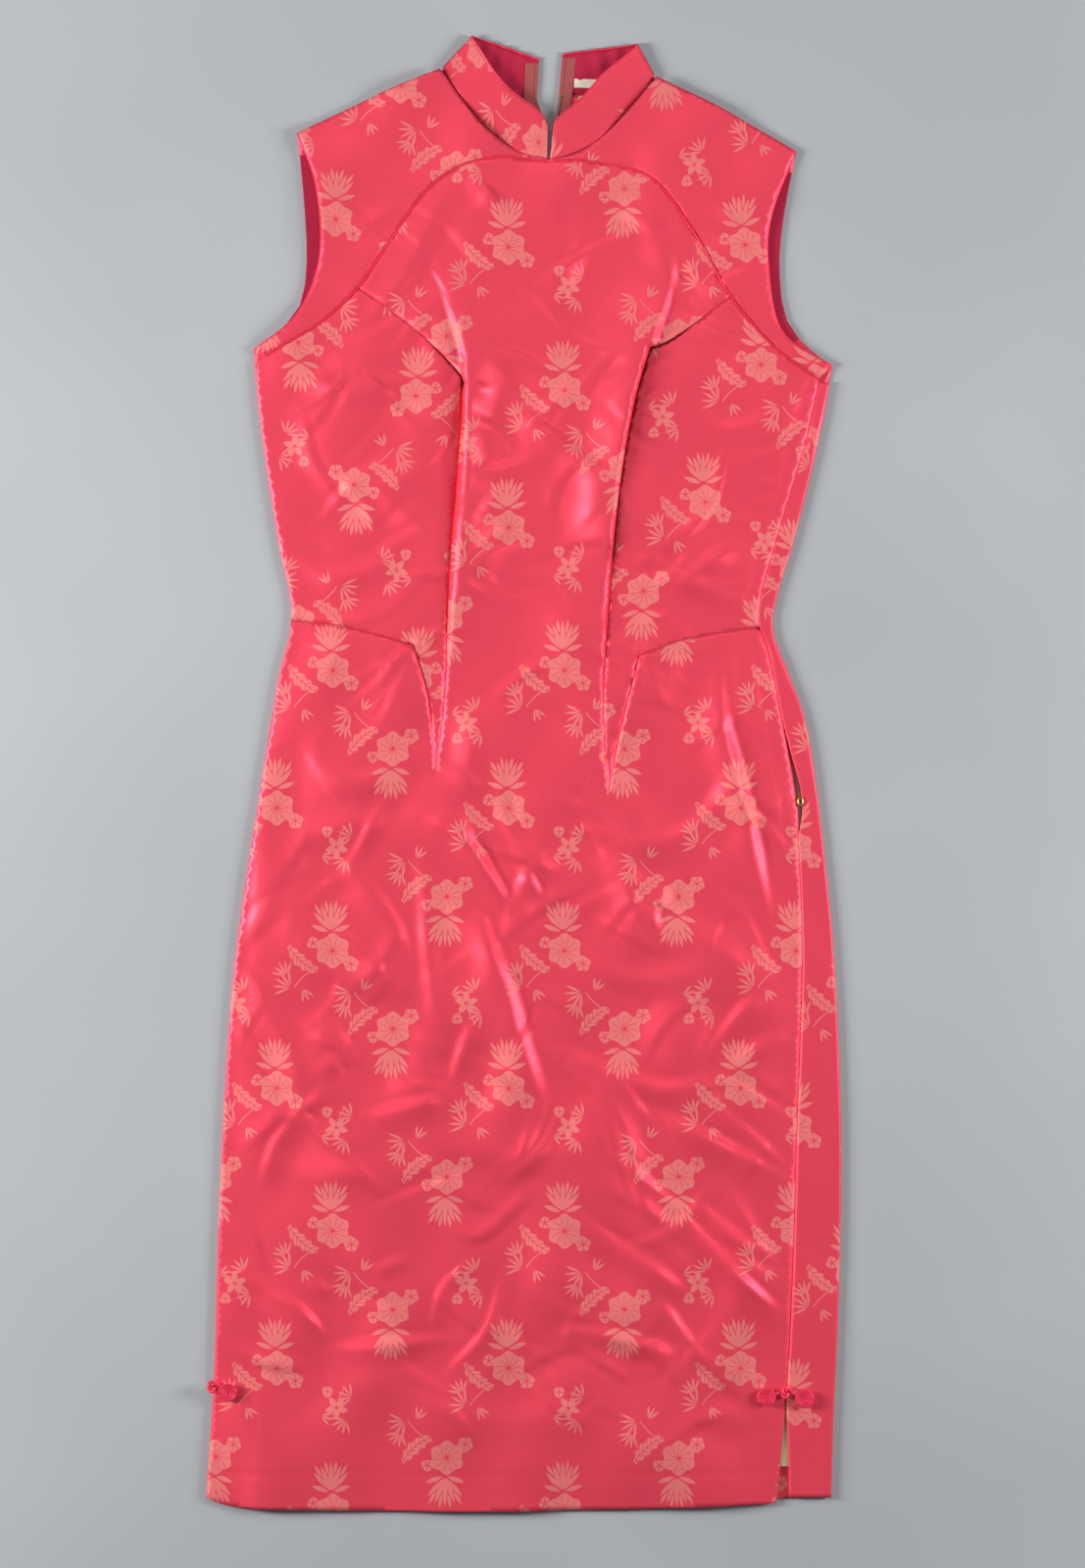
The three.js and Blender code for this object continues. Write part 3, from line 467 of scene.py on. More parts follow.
def furrow(points, line, deep, wide):
    """Depth of a stitched line at the points."""
    dist, _, _ = line_distance(points, line)
    return deep * np.exp(-(dist / wide) ** 2)


def panel_front(name, edge, material, nodes, proud=0.0):
    """A front panel at the cloth's height, with its seams, tucks, stitching and rolled edges."""
    verts, faces = fill(edge)
    z = front_height(verts, 1.0 if name == 'panel_main_front' or 'yoke' in name else 0.0)
    for seam in SEAMS:
        dist, _, along = line_distance(verts, seam)
        z -= 0.32 * np.exp(-(dist / 1.3) ** 2)
        pucker = np.sin(along * len(seam) * 2.4) * np.sin(along * len(seam) * 0.9)
        z += 0.14 * pucker * np.exp(-(dist / 9) ** 2) * (dist > 1)
    for tuck in TUCK_LINES:
        dist, side, along = line_distance(verts, tuck)
        z -= 1.0 * (1 - along) * np.exp(-(dist / 1.5) ** 2)
        z += 1.3 * (1 - along) * np.exp(-(dist / 7) ** 2) * (side > 0)
    z -= furrow(verts, placket, 0.7, 1.3)
    z -= furrow(verts, hem_stitch, 0.5, 1.4)
    for tail in (tail_left, tail_right):
        dist, _, along = line_distance(verts, tail)
        show = np.clip(1.25 - 1.35 * along, 0, 1)
        z += proud * show * np.exp(-dist / 22) * np.sqrt(1 - (1 - np.clip(dist / ROLL, 0, 1)) ** 2)
        if proud == 0:
            z -= 0.8 * show * np.exp(-dist / 10)
    piece = make_piece(name, np.c_[verts, settle(z)], faces, material, verts, WALL)
    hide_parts(*nodes)
    corners = ((verts[a], verts[b], verts[c]) for a, b, c in faces)
    area = sum(abs(np.cross(b - a, c - a)) / 2 for a, b, c in corners) * 1e-6
    print(name, len(verts), "points, area m2", round(area, 4))
    return piece


print(len(SEAMS), "seams and", len(TUCK_LINES), "tucks")

# %% [markdown]
# ## Colours and nodes
# A material is a small network of nodes. Colours are written as the hex numbers of a paint chart, which are
# sRGB, and turned to the linear numbers that light is worked out in. One helper adds a node of any kind.

# %% Colour and node helpers
def linear(hex_colour):
    """sRGB hex to linear colour."""
    parts = [int(hex_colour[i:i + 2], 16) / 255 for i in (1, 3, 5)]
    return [(p / 12.92 if p <= 0.04045 else ((p + 0.055) / 1.055) ** 2.4) for p in parts] + [1.0]


def put(tree, kind, inputs=(), out=0, **settings):
    """Adds a node, sets it, links or fills its inputs, and gives one of its outputs, if it has any."""
    node = tree.nodes.new(kind)
    for key, value in settings.items():
        setattr(node, key, value)
    pairs = inputs.items() if isinstance(inputs, dict) else enumerate(inputs)
    for key, value in pairs:
        if isinstance(value, bpy.types.NodeSocket):
            tree.links.new(value, node.inputs[key])
        else:
            node.inputs[key].default_value = value
    return node.outputs[out] if len(node.outputs) else None


print("coral red in linear light", [round(part, 3) for part in linear('#f34b60')])

# %% [markdown]
# ## The woven figure
# Brocade has its figure in the weave: other threads come to the top there. The sprigs could be painted, but
# then they would blur when seen close, so each is drawn with distances: pointed petals, round veined leaves,
# curled leaves and stems. A form gives 1 where the point is on it and 0 where it isn't.

# %% Forms of the figure
HALF_STEM = 0.42  # half the width of a stem


def polar(calc, x, y):
    """Distance from the form's start, and angle from straight up."""
    r = calc('SQRT', calc('ADD', calc('MULTIPLY', x, x), calc('MULTIPLY', y, y)))
    return r, calc('ARCTAN2', x, y)


def fan(calc, part, x, y):
    """Pointed petals or bamboo leaves from one point, step degrees apart."""
    r, angle = polar(calc, x, y)
    step = math.radians(part['step'])
    count = calc('ROUND', calc('DIVIDE', angle, step))
    turned = calc('ABSOLUTE', calc('SUBTRACT', angle, calc('MULTIPLY', count, step)))
    slant = calc('MULTIPLY', turned, r)
    number = calc('ABSOLUTE', count)
    reach = calc('SUBTRACT', part['long'], calc('MULTIPLY', number, part.get('shrink', 0)))
    along = calc('DIVIDE', calc('SUBTRACT', r, part['start']), reach)
    held = calc('MINIMUM', calc('MAXIMUM', along, 0), 1)
    bulge = calc('MULTIPLY', calc('SINE', calc('MULTIPLY', held, math.pi)), part['wide'])
    mark = calc('GREATER_THAN', bulge, slant)
    return calc('MULTIPLY', mark, calc('LESS_THAN', number, part['count'] + 0.5))


def leaf(calc, part, x, y):
    """A round leaf with a scalloped edge and bent veins."""
    r, angle = polar(calc, x, y)
    scallop = calc('MULTIPLY', calc('COSINE', calc('MULTIPLY', angle, part['lobes'])), 0.09)
    edge = calc('MULTIPLY', calc('ADD', scallop, 1), part['wide'])
    mark = calc('GREATER_THAN', edge, r)
    bent = calc('ADD', angle, calc('MULTIPLY', r, 0.03))
    ray = calc('MULTIPLY', calc('ABSOLUTE', calc('SINE', calc('MULTIPLY', bent, part['veins'] / 2))), r)
    gap = calc('GREATER_THAN', ray, part['vein'])
    rim = calc('GREATER_THAN', r, part['wide'] * 0.86)
    return calc('MULTIPLY', mark, calc('MAXIMUM', gap, rim))


def curl(calc, part, x, y):
    """A long curled leaf with a wavy edge, slanting veins and a middle rib."""
    run = calc('DIVIDE', y, part['long'])
    wave = calc('MULTIPLY', calc('SINE', calc('MULTIPLY', y, 0.9)), 0.8)
    half = calc('SUBTRACT', 1, calc('MULTIPLY', run, run))
    width = calc('ADD', calc('MULTIPLY', calc('SQRT', calc('MAXIMUM', half, 0)), part['wide']), wave)
    bend = calc('ABSOLUTE', calc('SUBTRACT', x, calc('MULTIPLY', calc('MULTIPLY', y, y), 0.012)))
    mark = calc('MULTIPLY', calc('GREATER_THAN', width, bend), calc('GREATER_THAN', half, 0))
    rib = calc('FRACT', calc('DIVIDE', calc('ADD', y, bend), 4.2))
    mark = calc('MULTIPLY', mark, calc('GREATER_THAN', rib, 0.16))
    return calc('MULTIPLY', mark, calc('GREATER_THAN', bend, 0.35))


def stem(calc, part, x, y):
    """A thin bowed line."""
    bend = calc('ABSOLUTE', calc('SUBTRACT', x, calc('MULTIPLY', calc('MULTIPLY', y, y), part['bow'])))
    inside = calc('LESS_THAN', calc('ABSOLUTE', y), part['long'])
    return calc('MULTIPLY', calc('LESS_THAN', bend, HALF_STEM), inside)


FORMS = {'fan': fan, 'leaf': leaf, 'curl': curl, 'stem': stem}
print("forms of the figure:", list(FORMS))

# %% [markdown]
# ## Two sprigs and their repeat
# A lotus with its leaves and bamboo, and a smaller plum blossom, repeat over a cell of cloth. Half of them
# hang upside down, so that the cloth can be cut either way up. Each sprig is one node group, drawn once and
# used in several places.

# %% Sprigs
CELL = (0.177, 0.214)  # the repeat of the loom, width and height in metres


def sprig(name, parts):
    """A node group: from a place in millimetres on the cloth to 1 on the figure and 0 off it."""
    tree = bpy.data.node_groups.new(name, 'ShaderNodeTree')
    tree.interface.new_socket("Place", in_out='INPUT', socket_type='NodeSocketVector')
    tree.interface.new_socket("Figure", in_out='OUTPUT', socket_type='NodeSocketFloat')
    place = put(tree, 'NodeGroupInput')

    def calc(operation, *values):
        return put(tree, 'ShaderNodeMath', values, operation=operation)

    figure = None
    for part in parts:
        x0, y0 = part['at']
        moved = put(tree, 'ShaderNodeVectorMath', (place, (-x0, -y0, 0)), operation='ADD')
        turn = -math.radians(part.get('turn', 0))
        moved = put(tree, 'ShaderNodeVectorRotate', {'Vector': moved, 'Angle': turn}, rotation_type='Z_AXIS')
        split = put(tree, 'ShaderNodeSeparateXYZ', (moved,)).node
        mark = FORMS[part['form']](calc, part, split.outputs[0], split.outputs[1])
        figure = mark if figure is None else calc('MAXIMUM', figure, mark)
    put(tree, 'NodeGroupOutput', (figure,))
    return tree


LOTUS = sprig("lotus sprig", [
    {'form': 'fan', 'at': (0, 0), 'step': 21, 'start': 1, 'long': 22, 'shrink': 1.6, 'wide': 1.75, 'count': 2},
    {'form': 'fan', 'at': (0, -1), 'step': 70, 'start': 2, 'long': 14, 'wide': 1.9, 'count': 1},
    {'form': 'fan', 'at': (0, 0), 'turn': 10.5, 'step': 21, 'start': 13, 'long': 11, 'wide': 1.3, 'count': 1},
    {'form': 'fan', 'at': (0, 0), 'turn': -10.5, 'step': 21, 'start': 13, 'long': 11, 'wide': 1.3, 'count': 1},
    {'form': 'leaf', 'at': (1.5, -15), 'wide': 12.4, 'lobes': 6, 'veins': 11, 'vein': 1.35},
    {'form': 'leaf', 'at': (15.5, -25), 'wide': 5.6, 'lobes': 5, 'veins': 6, 'vein': 0.9},
    {'form': 'leaf', 'at': (-13.5, -9), 'wide': 4.4, 'lobes': 3, 'veins': 5, 'vein': 0.9},
    {'form': 'curl', 'at': (-23, -23), 'turn': 48, 'wide': 4.6, 'long': 15},
    {'form': 'stem', 'at': (-20, -34), 'turn': -50, 'long': 12, 'bow': 0.012},
    {'form': 'fan', 'at': (-31, -43), 'turn': 60, 'step': 27, 'start': 1, 'long': 13, 'wide': 0.95, 'count': 2},
    {'form': 'fan', 'at': (-34, -34), 'turn': 30, 'step': 25, 'start': 1, 'long': 11, 'wide': 0.9, 'count': 2},
    {'form': 'fan', 'at': (-22, -44), 'turn': -150, 'step': 26, 'start': 1, 'long': 10, 'wide': 0.9, 'count': 1},
])
PLUM = sprig("plum sprig", [
    {'form': 'fan', 'at': (0, 0), 'step': 72, 'long': 8.5, 'wide': 2.5, 'count': 2, 'start': 0.8},
    {'form': 'leaf', 'at': (-7, -12), 'wide': 4.0, 'lobes': 3, 'veins': 4, 'vein': 0.5},
    {'form': 'stem', 'at': (3, -9), 'turn': 20, 'long': 8, 'bow': 0.02},
    {'form': 'fan', 'at': (7, 9), 'turn': 40, 'step': 28, 'start': 1, 'long': 11, 'wide': 0.9, 'count': 2},
    {'form': 'fan', 'at': (12, -8), 'turn': 110, 'step': 30, 'start': 1, 'long': 11, 'wide': 0.9, 'count': 2},
    {'form': 'fan', 'at': (-12, 6), 'turn': -70, 'step': 30, 'start': 1, 'long': 9, 'wide': 0.9, 'count': 1},
])
PLACES = [  # sprig, x and y in the cell in mm, and -1 where it hangs upside down
    (LOTUS, 0, 0, 1), (LOTUS, 42.8, 105, 1), (LOTUS, 88.5, 15, -1), (LOTUS, 129.8, 116, -1),
    (PLUM, -30.8, 50, 1), (PLUM, 47, 169, -1),
]
print("sprigs in a cell:", len(PLACES))

# %% [markdown]
# ## Satin
# Rayon satin has long threads lying side by side on its face, so the ground is glossy with a coloured shine
# and the woven figure, whose threads are bound down, is paler and matt. A plain Principled shader with some
# metallic gives that coloured shine, and a bump of fine noise stands for the threads.

# %% Satin
THREADS = 10 / 9  # mm; real floats are 0.1 mm wide, too fine to show, so they are drawn this coarse
UNEVEN = 500 / 7  # mm; size of the patches where the dye is a little lighter or darker
FIGURE_ROUGH = 0.62  # the figure's bound threads


def figure_mask(tree, weave):
    """1 where a sprig covers the cloth and 0 on the ground."""
    mask = None
    for group, x, y, way in PLACES:
        corner = (CELL[0] / 2 - x * MM, CELL[1] / 2 - y * MM, 0)
        moved = put(tree, 'ShaderNodeVectorMath', (weave, corner), operation='ADD')
        wrapped = put(tree, 'ShaderNodeVectorMath', (moved, (*CELL, 1), (0, 0, 0)), operation='WRAP')
        local = put(tree, 'ShaderNodeVectorMath', (wrapped, (-CELL[0] / 2, -CELL[1] / 2, 0)), operation='ADD')
        scaled = put(tree, 'ShaderNodeVectorMath', (local, (1000, 1000 * way, 0)), operation='MULTIPLY')
        mark = put(tree, 'ShaderNodeGroup', (scaled,), node_tree=group)
        mask = mark if mask is None else put(tree, 'ShaderNodeMath', (mask, mark), operation='MAXIMUM')
    return mask


def satin(name, ground, figure_colour, rough, figured=True):
    """Warp-faced satin: smooth glossy ground, matt paler figure, and a fine grain of threads."""
    material = bpy.data.materials.new(name)
    material.use_nodes = True
    tree = material.node_tree
    tree.nodes.clear()
    if figured:
        weave = put(tree, 'ShaderNodeUVMap', uv_map="Weave")
        mask = figure_mask(tree, weave)
    else:
        weave = put(tree, 'ShaderNodeTexCoord', out=3)
        mask = 0.0
    fine = put(tree, 'ShaderNodeTexNoise', {'Vector': weave, 'Scale': 1000 / THREADS, 'Detail': 2.0})
    broad = put(tree, 'ShaderNodeTexNoise', {'Vector': weave, 'Scale': 1000 / UNEVEN, 'Detail': 3.0})
    shade = put(tree, 'ShaderNodeMapRange', {'Value': broad, 'To Min': 0.93, 'To Max': 1.06})
    base = put(tree, 'ShaderNodeMix', {6: linear(ground), 7: linear(figure_colour), 0: mask},
               out=2, data_type='RGBA')
    colour = put(tree, 'ShaderNodeVectorMath', {0: base, 'Scale': shade}, operation='SCALE')
    bump = put(tree, 'ShaderNodeBump', {'Strength': 0.25, 'Distance': 0.0002, 'Height': fine})
    shader = put(tree, 'ShaderNodeBsdfPrincipled', {
        'Base Color': colour, 'Normal': bump, 'Roughness': rough, 'Metallic': 0.38, 'Sheen Weight': 0.1,
        'Sheen Roughness': 0.4, 'Sheen Tint': (1.0, 0.45, 0.5, 1.0), 'Specular Tint': (1.0, 0.5, 0.5, 1.0),
        'Specular IOR Level': 0.12})
    if figured:
        matt = put(tree, 'ShaderNodeMapRange', {'Value': mask, 'To Min': rough, 'To Max': FIGURE_ROUGH})
        tree.links.new(matt, shader.node.inputs['Roughness'])
    put(tree, 'ShaderNodeOutputMaterial', (shader,))
    return material


# the dress cloth: its coral ground shines softly, and its salmon figure doesn't
brocade = satin("coral brocade satin", '#f34b60', '#ea7c7a', 0.43)
# unfigured satin cut on the bias, for frogs and piping: the same shine, a deeper red
frog_satin = satin("plain coral satin", '#e83e5c', '#e83e5c', 0.42, figured=False)
# the wrong side of the satin, on facings and inside the collar: darker and a little duller
inner_satin = satin("satin's duller side", '#c02c4a', '#c02c4a', 0.5, figured=False)
print("satins:", brocade.name, "/", frog_satin.name, "/", inner_satin.name)

# %% [markdown]
# ## Plain cloth and metal
# Lining, zip tape and label tape are plain weaves that scatter light evenly. Zip teeth and the slider are
# metal. All take one colour with a fine grain, because little of each shows.

# %% Plain materials
def plain(name, colour, rough, metal=0.0, grain=5 / 3):
    """Plain cloth, tape or metal with a fine grain, whose size is in mm."""
    material = bpy.data.materials.new(name)
    material.use_nodes = True
    tree = material.node_tree
    shader = tree.nodes['Principled BSDF']
    place = put(tree, 'ShaderNodeTexCoord', out=3)
    noise = put(tree, 'ShaderNodeTexNoise', {'Vector': place, 'Scale': 1000 / grain, 'Detail': 2.0})
    shade = put(tree, 'ShaderNodeMapRange', {'Value': noise, 'To Min': 0.85, 'To Max': 1.12})
    tinted = put(tree, 'ShaderNodeVectorMath', {0: linear(colour)[:3], 'Scale': shade}, operation='SCALE')
    tree.links.new(tinted, shader.inputs['Base Color'])
    shader.inputs['Roughness'].default_value = rough
    shader.inputs['Metallic'].default_value = metal
    return material


lining = plain("beige lining", '#c9ac86', 0.8)  # soft plain weave, at the neck and the slit: no shine
zip_tape = plain("woven zip tape", '#a04a48', 0.85)  # herringbone cotton tape, dull and brownish red
zip_metal = plain("nickel zip teeth", '#b5b0a6', 0.35, 1.0)  # stamped nickel silver, a soft grey glint
slider_metal = plain("worn brass", '#c9a05c', 0.35, 1.0)  # cast slider and pull, rubbed to yellow
label_tape = plain("cotton tape", '#e2d9c4', 0.9)  # undyed narrow tape in the collar, matt
print("materials:", len(bpy.data.materials))

# %% [markdown]
# ## Front
# The main front is one piece from neck to hem, narrow between the bust seams and wide in the skirt. Two yokes
# and two side fronts meet it at curved seams. Each edge is put together from the shared lines, so pieces that
# are sewn to each other fit without a gap.

# %% Front panels
zip_waist = nearest(front_right, WAIST_RIGHT[2])
side_waist = nearest(left_side, WAIST_LEFT[0])
cut_left = nearest(yoke_left_seam, BUST_LEFT[0])
cut_right = nearest(yoke_right_seam, BUST_RIGHT[0])
lower_left = left_side[side_waist:][::-1]
upper_left = left_side[:side_waist + 1]
main_edge = np.vstack([
    hem, front_right[zip_waist:][::-1], waist_right[::-1][1:], dart_right[1:], tail_right[::-1][1:],
    bust_right[::-1][1:], yoke_right_seam[:cut_right][::-1], yoke_left_seam[1:cut_left], bust_left,
    tail_left[1:], dart_left[::-1][1:], waist_left[::-1][1:], lower_left[::-1][1:-1]])
side_left_edge = np.vstack([
    yoke_left_seam[cut_left:], upper_left[upper_left[:, 1] < 314], waist_left, dart_left[1:],
    tail_left[::-1][1:], bust_left[::-1][1:]])
side_right_edge = np.vstack([
    waist_right[::-1], dart_right[1:], tail_right[::-1][1:], bust_right[::-1][1:],
    yoke_right_seam[cut_right:], zip_edge[(zip_edge[:, 1] < 299) & (zip_edge[:, 1] > 114)]])
yoke_left_edge = np.vstack([yoke_left_seam, smooth(ARMHOLE_FRONT_LEFT)[::-1], smooth(SHOULDER_LEFT)[::-1][1:],
                            neck_left[::-1][1:]])
yoke_right_edge = np.vstack([yoke_right_seam, smooth(ARMHOLE_FRONT_RIGHT)[::-1],
                             smooth(SHOULDER_RIGHT)[::-1][1:], neck_right[::-1][1:]])
panel_front('panel_main_front', main_edge, brocade, ['main_front'], proud=5.5)
panel_front('panel_side_front_left', side_left_edge, brocade, ['side_front_left'])
panel_front('panel_side_front_right', side_right_edge, brocade, ['side_front_right'])
panel_front('panel_yoke_left', yoke_left_edge, brocade, ['yoke_left'])
panel_front('panel_yoke_right', yoke_right_edge, brocade, ['yoke_right'])

# %% [markdown]
# ## Back
# Two halves lie flat on the surface and meet at the zip. They could be one piece, but the open zip at the
# neck shows both edges. The right half is wider: it turns round the side and comes over to the front, so a strip
# of rows, each bent round the fold, is added to its flat part.

# %% Back panels
STRIP_POINTS = 22  # points across the turned strip
TURN_RADIUS = 1.6  # of the bend at the side
STRIP_TOP, STRIP_STEP = 298.6, 3.0  # height of the strip's first row, and the distance between rows
BACK_WALL, TURN_WALL = 0.6, 0.5  # thickness of the left and of the right half


def grid_faces(rows, columns):
    """Four-sided faces of a grid of points."""
    return [(i * columns + j, i * columns + j + 1, (i + 1) * columns + j + 1, (i + 1) * columns + j)
            for i in range(rows - 1) for j in range(columns - 1)]


def flat_back(edge):
    """A flat panel with a furrow where the hem is stitched: its points, its faces and its weave's points."""
    verts, faces = fill(edge)
    z = 1.1 - 0.25 * np.exp(-((verts[:, 1] + 535) / 1.5) ** 2)
    return np.c_[verts, z], faces, verts


def turned_row(y):
    """Points x and z of the strip at height y: from under the fold, round it and on to its free edge."""
    fold = float(x_at(right_fold, y))
    off = np.interp(-y, [-o[0] for o in OPENING], [o[1] for o in OPENING])
    edge = float(x_at(front_right, y) + off)
    row = [(fold - 6, 0.7), (fold - TURN_RADIUS, 0.7)]
    row += [(fold - TURN_RADIUS + TURN_RADIUS * math.sin(a), 2.5 - 1.8 * math.cos(a))
            for a in np.linspace(0.4, math.pi, 7)]
    lift = 0.5 * math.sin(y / 37) + 0.35 * math.sin(y / 13 + 1)
    for x in np.linspace(fold - TURN_RADIUS, edge, STRIP_POINTS - len(row) + 1)[1:]:
        wave = lift * math.sin(math.pi * (x - edge) / (fold - edge + 1e-6))
        row.append((x, 4.3 + wave - 0.5 * math.exp(-(x - edge) / 1.5)))
    return fold, row


hem_middle = np.array([(11.6, -561)])
back_left_edge = np.vstack([
    [(-241.6, -553), (-207, -560.5)], hem_middle, smooth(BACK_EDGE_LEFT)[::-1], smooth(NECK_BACK_LEFT)[1:],
    smooth(SHOULDER_LEFT)[1:], smooth(ARMHOLE_BACK_LEFT)[1:], left_side[1:-1]])
verts, faces, flat = flat_back(back_left_edge)
back_left = make_piece('panel_back_left', verts, faces, brocade, flat, BACK_WALL)
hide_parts('back_left')

inner_edge = np.array([(p[0] - (6 if p[1] < 298 else 0), p[1]) for p in right_fold])
back_right_edge = np.vstack([
    hem_middle, inner_edge, smooth(ARMHOLE_BACK_RIGHT)[::-1][1:], smooth(SHOULDER_RIGHT)[::-1][1:],
    smooth(NECK_BACK_RIGHT)[::-1][1:], smooth(BACK_EDGE_RIGHT)[1:]])
verts, faces, flat = flat_back(back_right_edge)
heights = np.arange(STRIP_TOP, -553.6, -STRIP_STEP)
strip_rows, strip_flat = [], []
for y in heights:
    fold, row = turned_row(y)
    run = 0.0
    for k, (x, z) in enumerate(row):
        if k:
            run += math.hypot(x - row[k - 1][0], z - row[k - 1][1])
        strip_rows.append((x, y, z))
        strip_flat.append((fold - run + 30, y))
start = len(verts)
faces = faces + [tuple(start + i for i in face) for face in grid_faces(len(heights), STRIP_POINTS)]
verts = np.vstack([verts, strip_rows])
flat = np.vstack([flat, strip_flat])
back_right = make_piece('panel_back_right', verts, faces, brocade, flat, TURN_WALL)
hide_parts('back_right')
print("back halves with", start, "flat points and", len(strip_rows), "in the turned strip")

# %% [markdown]
# ## Collar
# A stand collar is a narrow band, sewn round the neck in two halves. Laid flat, each half runs from the notch
# at the front to a folded tip over the shoulder and back, lower down, to the zip, so its inner side shows
# there. It is lofted: short sections from seam to free edge, one after the other, joined by faces.

# %% Collar
COLLAR = {  # rows: x and y at the seam, x and y at the free edge, from the notch to the tip, then to the zip
    'left': (
        [(17.6, 469.4, 17.9, 492), (8, 471.3, 15.8, 499.5), (-3.4, 475.2, 8.6, 507.8),
         (-18.4, 483.8, -0.4, 514.1), (-31.8, 495.6, -11.6, 522.8), (-45.4, 512.1, -22.8, 535.9),
         (-54.4, 524.8, -31.1, 549), (-61.8, 537.6, -40, 562.4)],
        [(-61.6, 539, -39.6, 563), (-48.4, 530, -25.9, 558.8), (-29.6, 521.6, -10.9, 553.9),
         (-9.4, 517.2, 1.1, 549.4), (9.8, 516.5, 11.6, 545.6)]),
    'right': (
        [(20, 469.4, 22.9, 494.2), (31.9, 471.4, 25.9, 500.2), (43.1, 475.5, 34.1, 507),
         (55.9, 483, 43.1, 514.1), (69.4, 495.5, 52.1, 523.9), (82.9, 510.5, 61.9, 534.8),
         (93.4, 522.5, 79.1, 549), (99.4, 532.2, 87, 556)],
        [(99.2, 533.6, 86.8, 557), (86.6, 527.2, 74.6, 555.4), (67.9, 521.8, 58.1, 553.5),
         (47.6, 519.6, 43.1, 551.6), (26.9, 519.2, 29.5, 549.8)]),
}
FRONT_SECTIONS, BACK_SECTIONS, ACROSS = 40, 30, 12  # along each stretch, and up the band
WEAVE_START = {'left': (-60, 500), 'right': (64, 505)}  # where each half was cut from the patterned cloth


def spline_rows(rows, count):
    """The seam and the free edge of a stretch of collar, count points each."""
    at = np.linspace(0, 1, count)

    def pick(line):
        return np.c_[[np.interp(at, np.linspace(0, 1, len(line)), line[:, k]) for k in (0, 1)]].T

    return pick(smooth([r[:2] for r in rows], 2)), pick(smooth([r[2:] for r in rows], 2))


def tube(name, points, radius, material, sides=8):
    """A closed round cord along points in mm."""
    points = [Vector(p) for p in points]
    verts, faces = [], []
    for i, p in enumerate(points):
        along = (points[min(i + 1, len(points) - 1)] - points[max(i - 1, 0)]).normalized()
        across = along.cross(Vector((0, 0, 1)))
        across = across.normalized() if across.length > 1e-6 else Vector((1, 0, 0))
        up = across.cross(along).normalized()
        for k in range(sides):
            a = 2 * math.pi * k / sides
            verts.append(p + across * (radius * math.cos(a)) + up * (radius * math.sin(a)))
    for i in range(len(points) - 1):
        for k in range(sides):
            m = (k + 1) % sides
            faces.append((i * sides + k, i * sides + m, (i + 1) * sides + m, (i + 1) * sides + k))
    faces += [tuple(range(sides))[::-1], tuple(range(len(verts) - sides, len(verts)))]
    return make_piece(name, verts, faces, material)


def collar_sections(front, back):
    """Sections of one half: the raised front stretch, then the back stretch, which lies lower and ruffles."""
    sections = []
    up = np.linspace(0, 1, ACROSS)
    for i, (b, f) in enumerate(zip(*spline_rows(front, FRONT_SECTIONS))):
        t = i / (FRONT_SECTIONS - 1)
        rise = 3.6 * math.sin(math.pi * min(t, 0.93))
        wave = 0.5 * math.sin(3 * t * 6.3)
        sections.append([(b + (f - b) * v, 4.2 + rise * v + wave * v * (1 - v)) for v in up])
    for i, (b, f) in enumerate(zip(*spline_rows(back, BACK_SECTIONS))):
        t = min(1, i / 6)
        ruffle = 0.9 * math.sin(i * 0.9) * math.sin(math.pi * i / (BACK_SECTIONS - 1))
        sections.append([(b + (f - b) * v, 3.4 - 2.0 * t + ruffle * v + 0.6 * v * (1 - v) * 4) for v in up])
    return sections


for side, (front, back) in COLLAR.items():
    sections = collar_sections(front, back)
    verts = [(*p, z) for section in sections for p, z in section]
    flat = np.array([(i * 2.6, j * 3.0) for i in range(len(sections)) for j in range(ACROSS)])
    flat = flat + np.array([WEAVE_START[side]])
    name = 'panel_collar_' + side
    piece = make_piece(name, verts, grid_faces(len(sections), ACROSS), brocade, flat, 0.7)
    if side == 'left':
        piece.data.flip_normals()
    piece.data.materials.append(inner_satin)
    for polygon in piece.data.polygons:
        if polygon.index >= (FRONT_SECTIONS - 1) * (ACROSS - 1):
            polygon.material_index = 1
    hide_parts('collar_' + side)
    edge_line = [(*section[-1][0], section[-1][1] + 0.1) for section in sections]
    fold_line = [(*section[0][0], section[0][1] - 0.2) for section in sections[:FRONT_SECTIONS]]
    tube('piping_collar_top_' + side, edge_line, 0.8, frog_satin)
    tube('piping_neck_' + side, fold_line, 0.6, frog_satin)
    print("collar", side, "with", len(sections), "sections")

# %% [markdown]
# ## Piping
# A thin cord wrapped in bias satin is caught in the yoke seams and round the armholes, where it shows as a
# round line. A bevelled curve would do too, but a tube along the seam's points follows the cloth's height.

# %% Piping on the yoke seams and armholes
YOKE_CORD, ARMHOLE_CORD = 0.75, 0.6  # radius of the cord
for name, line in (('left', yoke_left_seam), ('right', yoke_right_seam)):
    tube('piping_yoke_' + name, np.c_[line, front_height(line) - 0.1], YOKE_CORD, frog_satin)
for name, rows in (('left', ARMHOLE_FRONT_LEFT), ('right', ARMHOLE_FRONT_RIGHT)):
    line = smooth(rows)
    tube('piping_armhole_' + name, np.c_[line, front_height(line) - 0.4], ARMHOLE_CORD, frog_satin)
print("four lengths of piping made")

# %% [markdown]
# ## Zips
# Metal teeth are clamped one by one to the edge of each tape. They are small blocks at an even pitch, turned
# with the line they follow. A row could be an array modifier on a curve, but a loop gives one plain mesh. The
# solid model's own tapes, slider, pull, linings and facings have the right shape, so they only get a finish.

# %% Zip teeth, and finishes for the solid model's pieces
TOOTH = 0.9  # length of a tooth along the zip
TOOTH_HIGH = 0.7


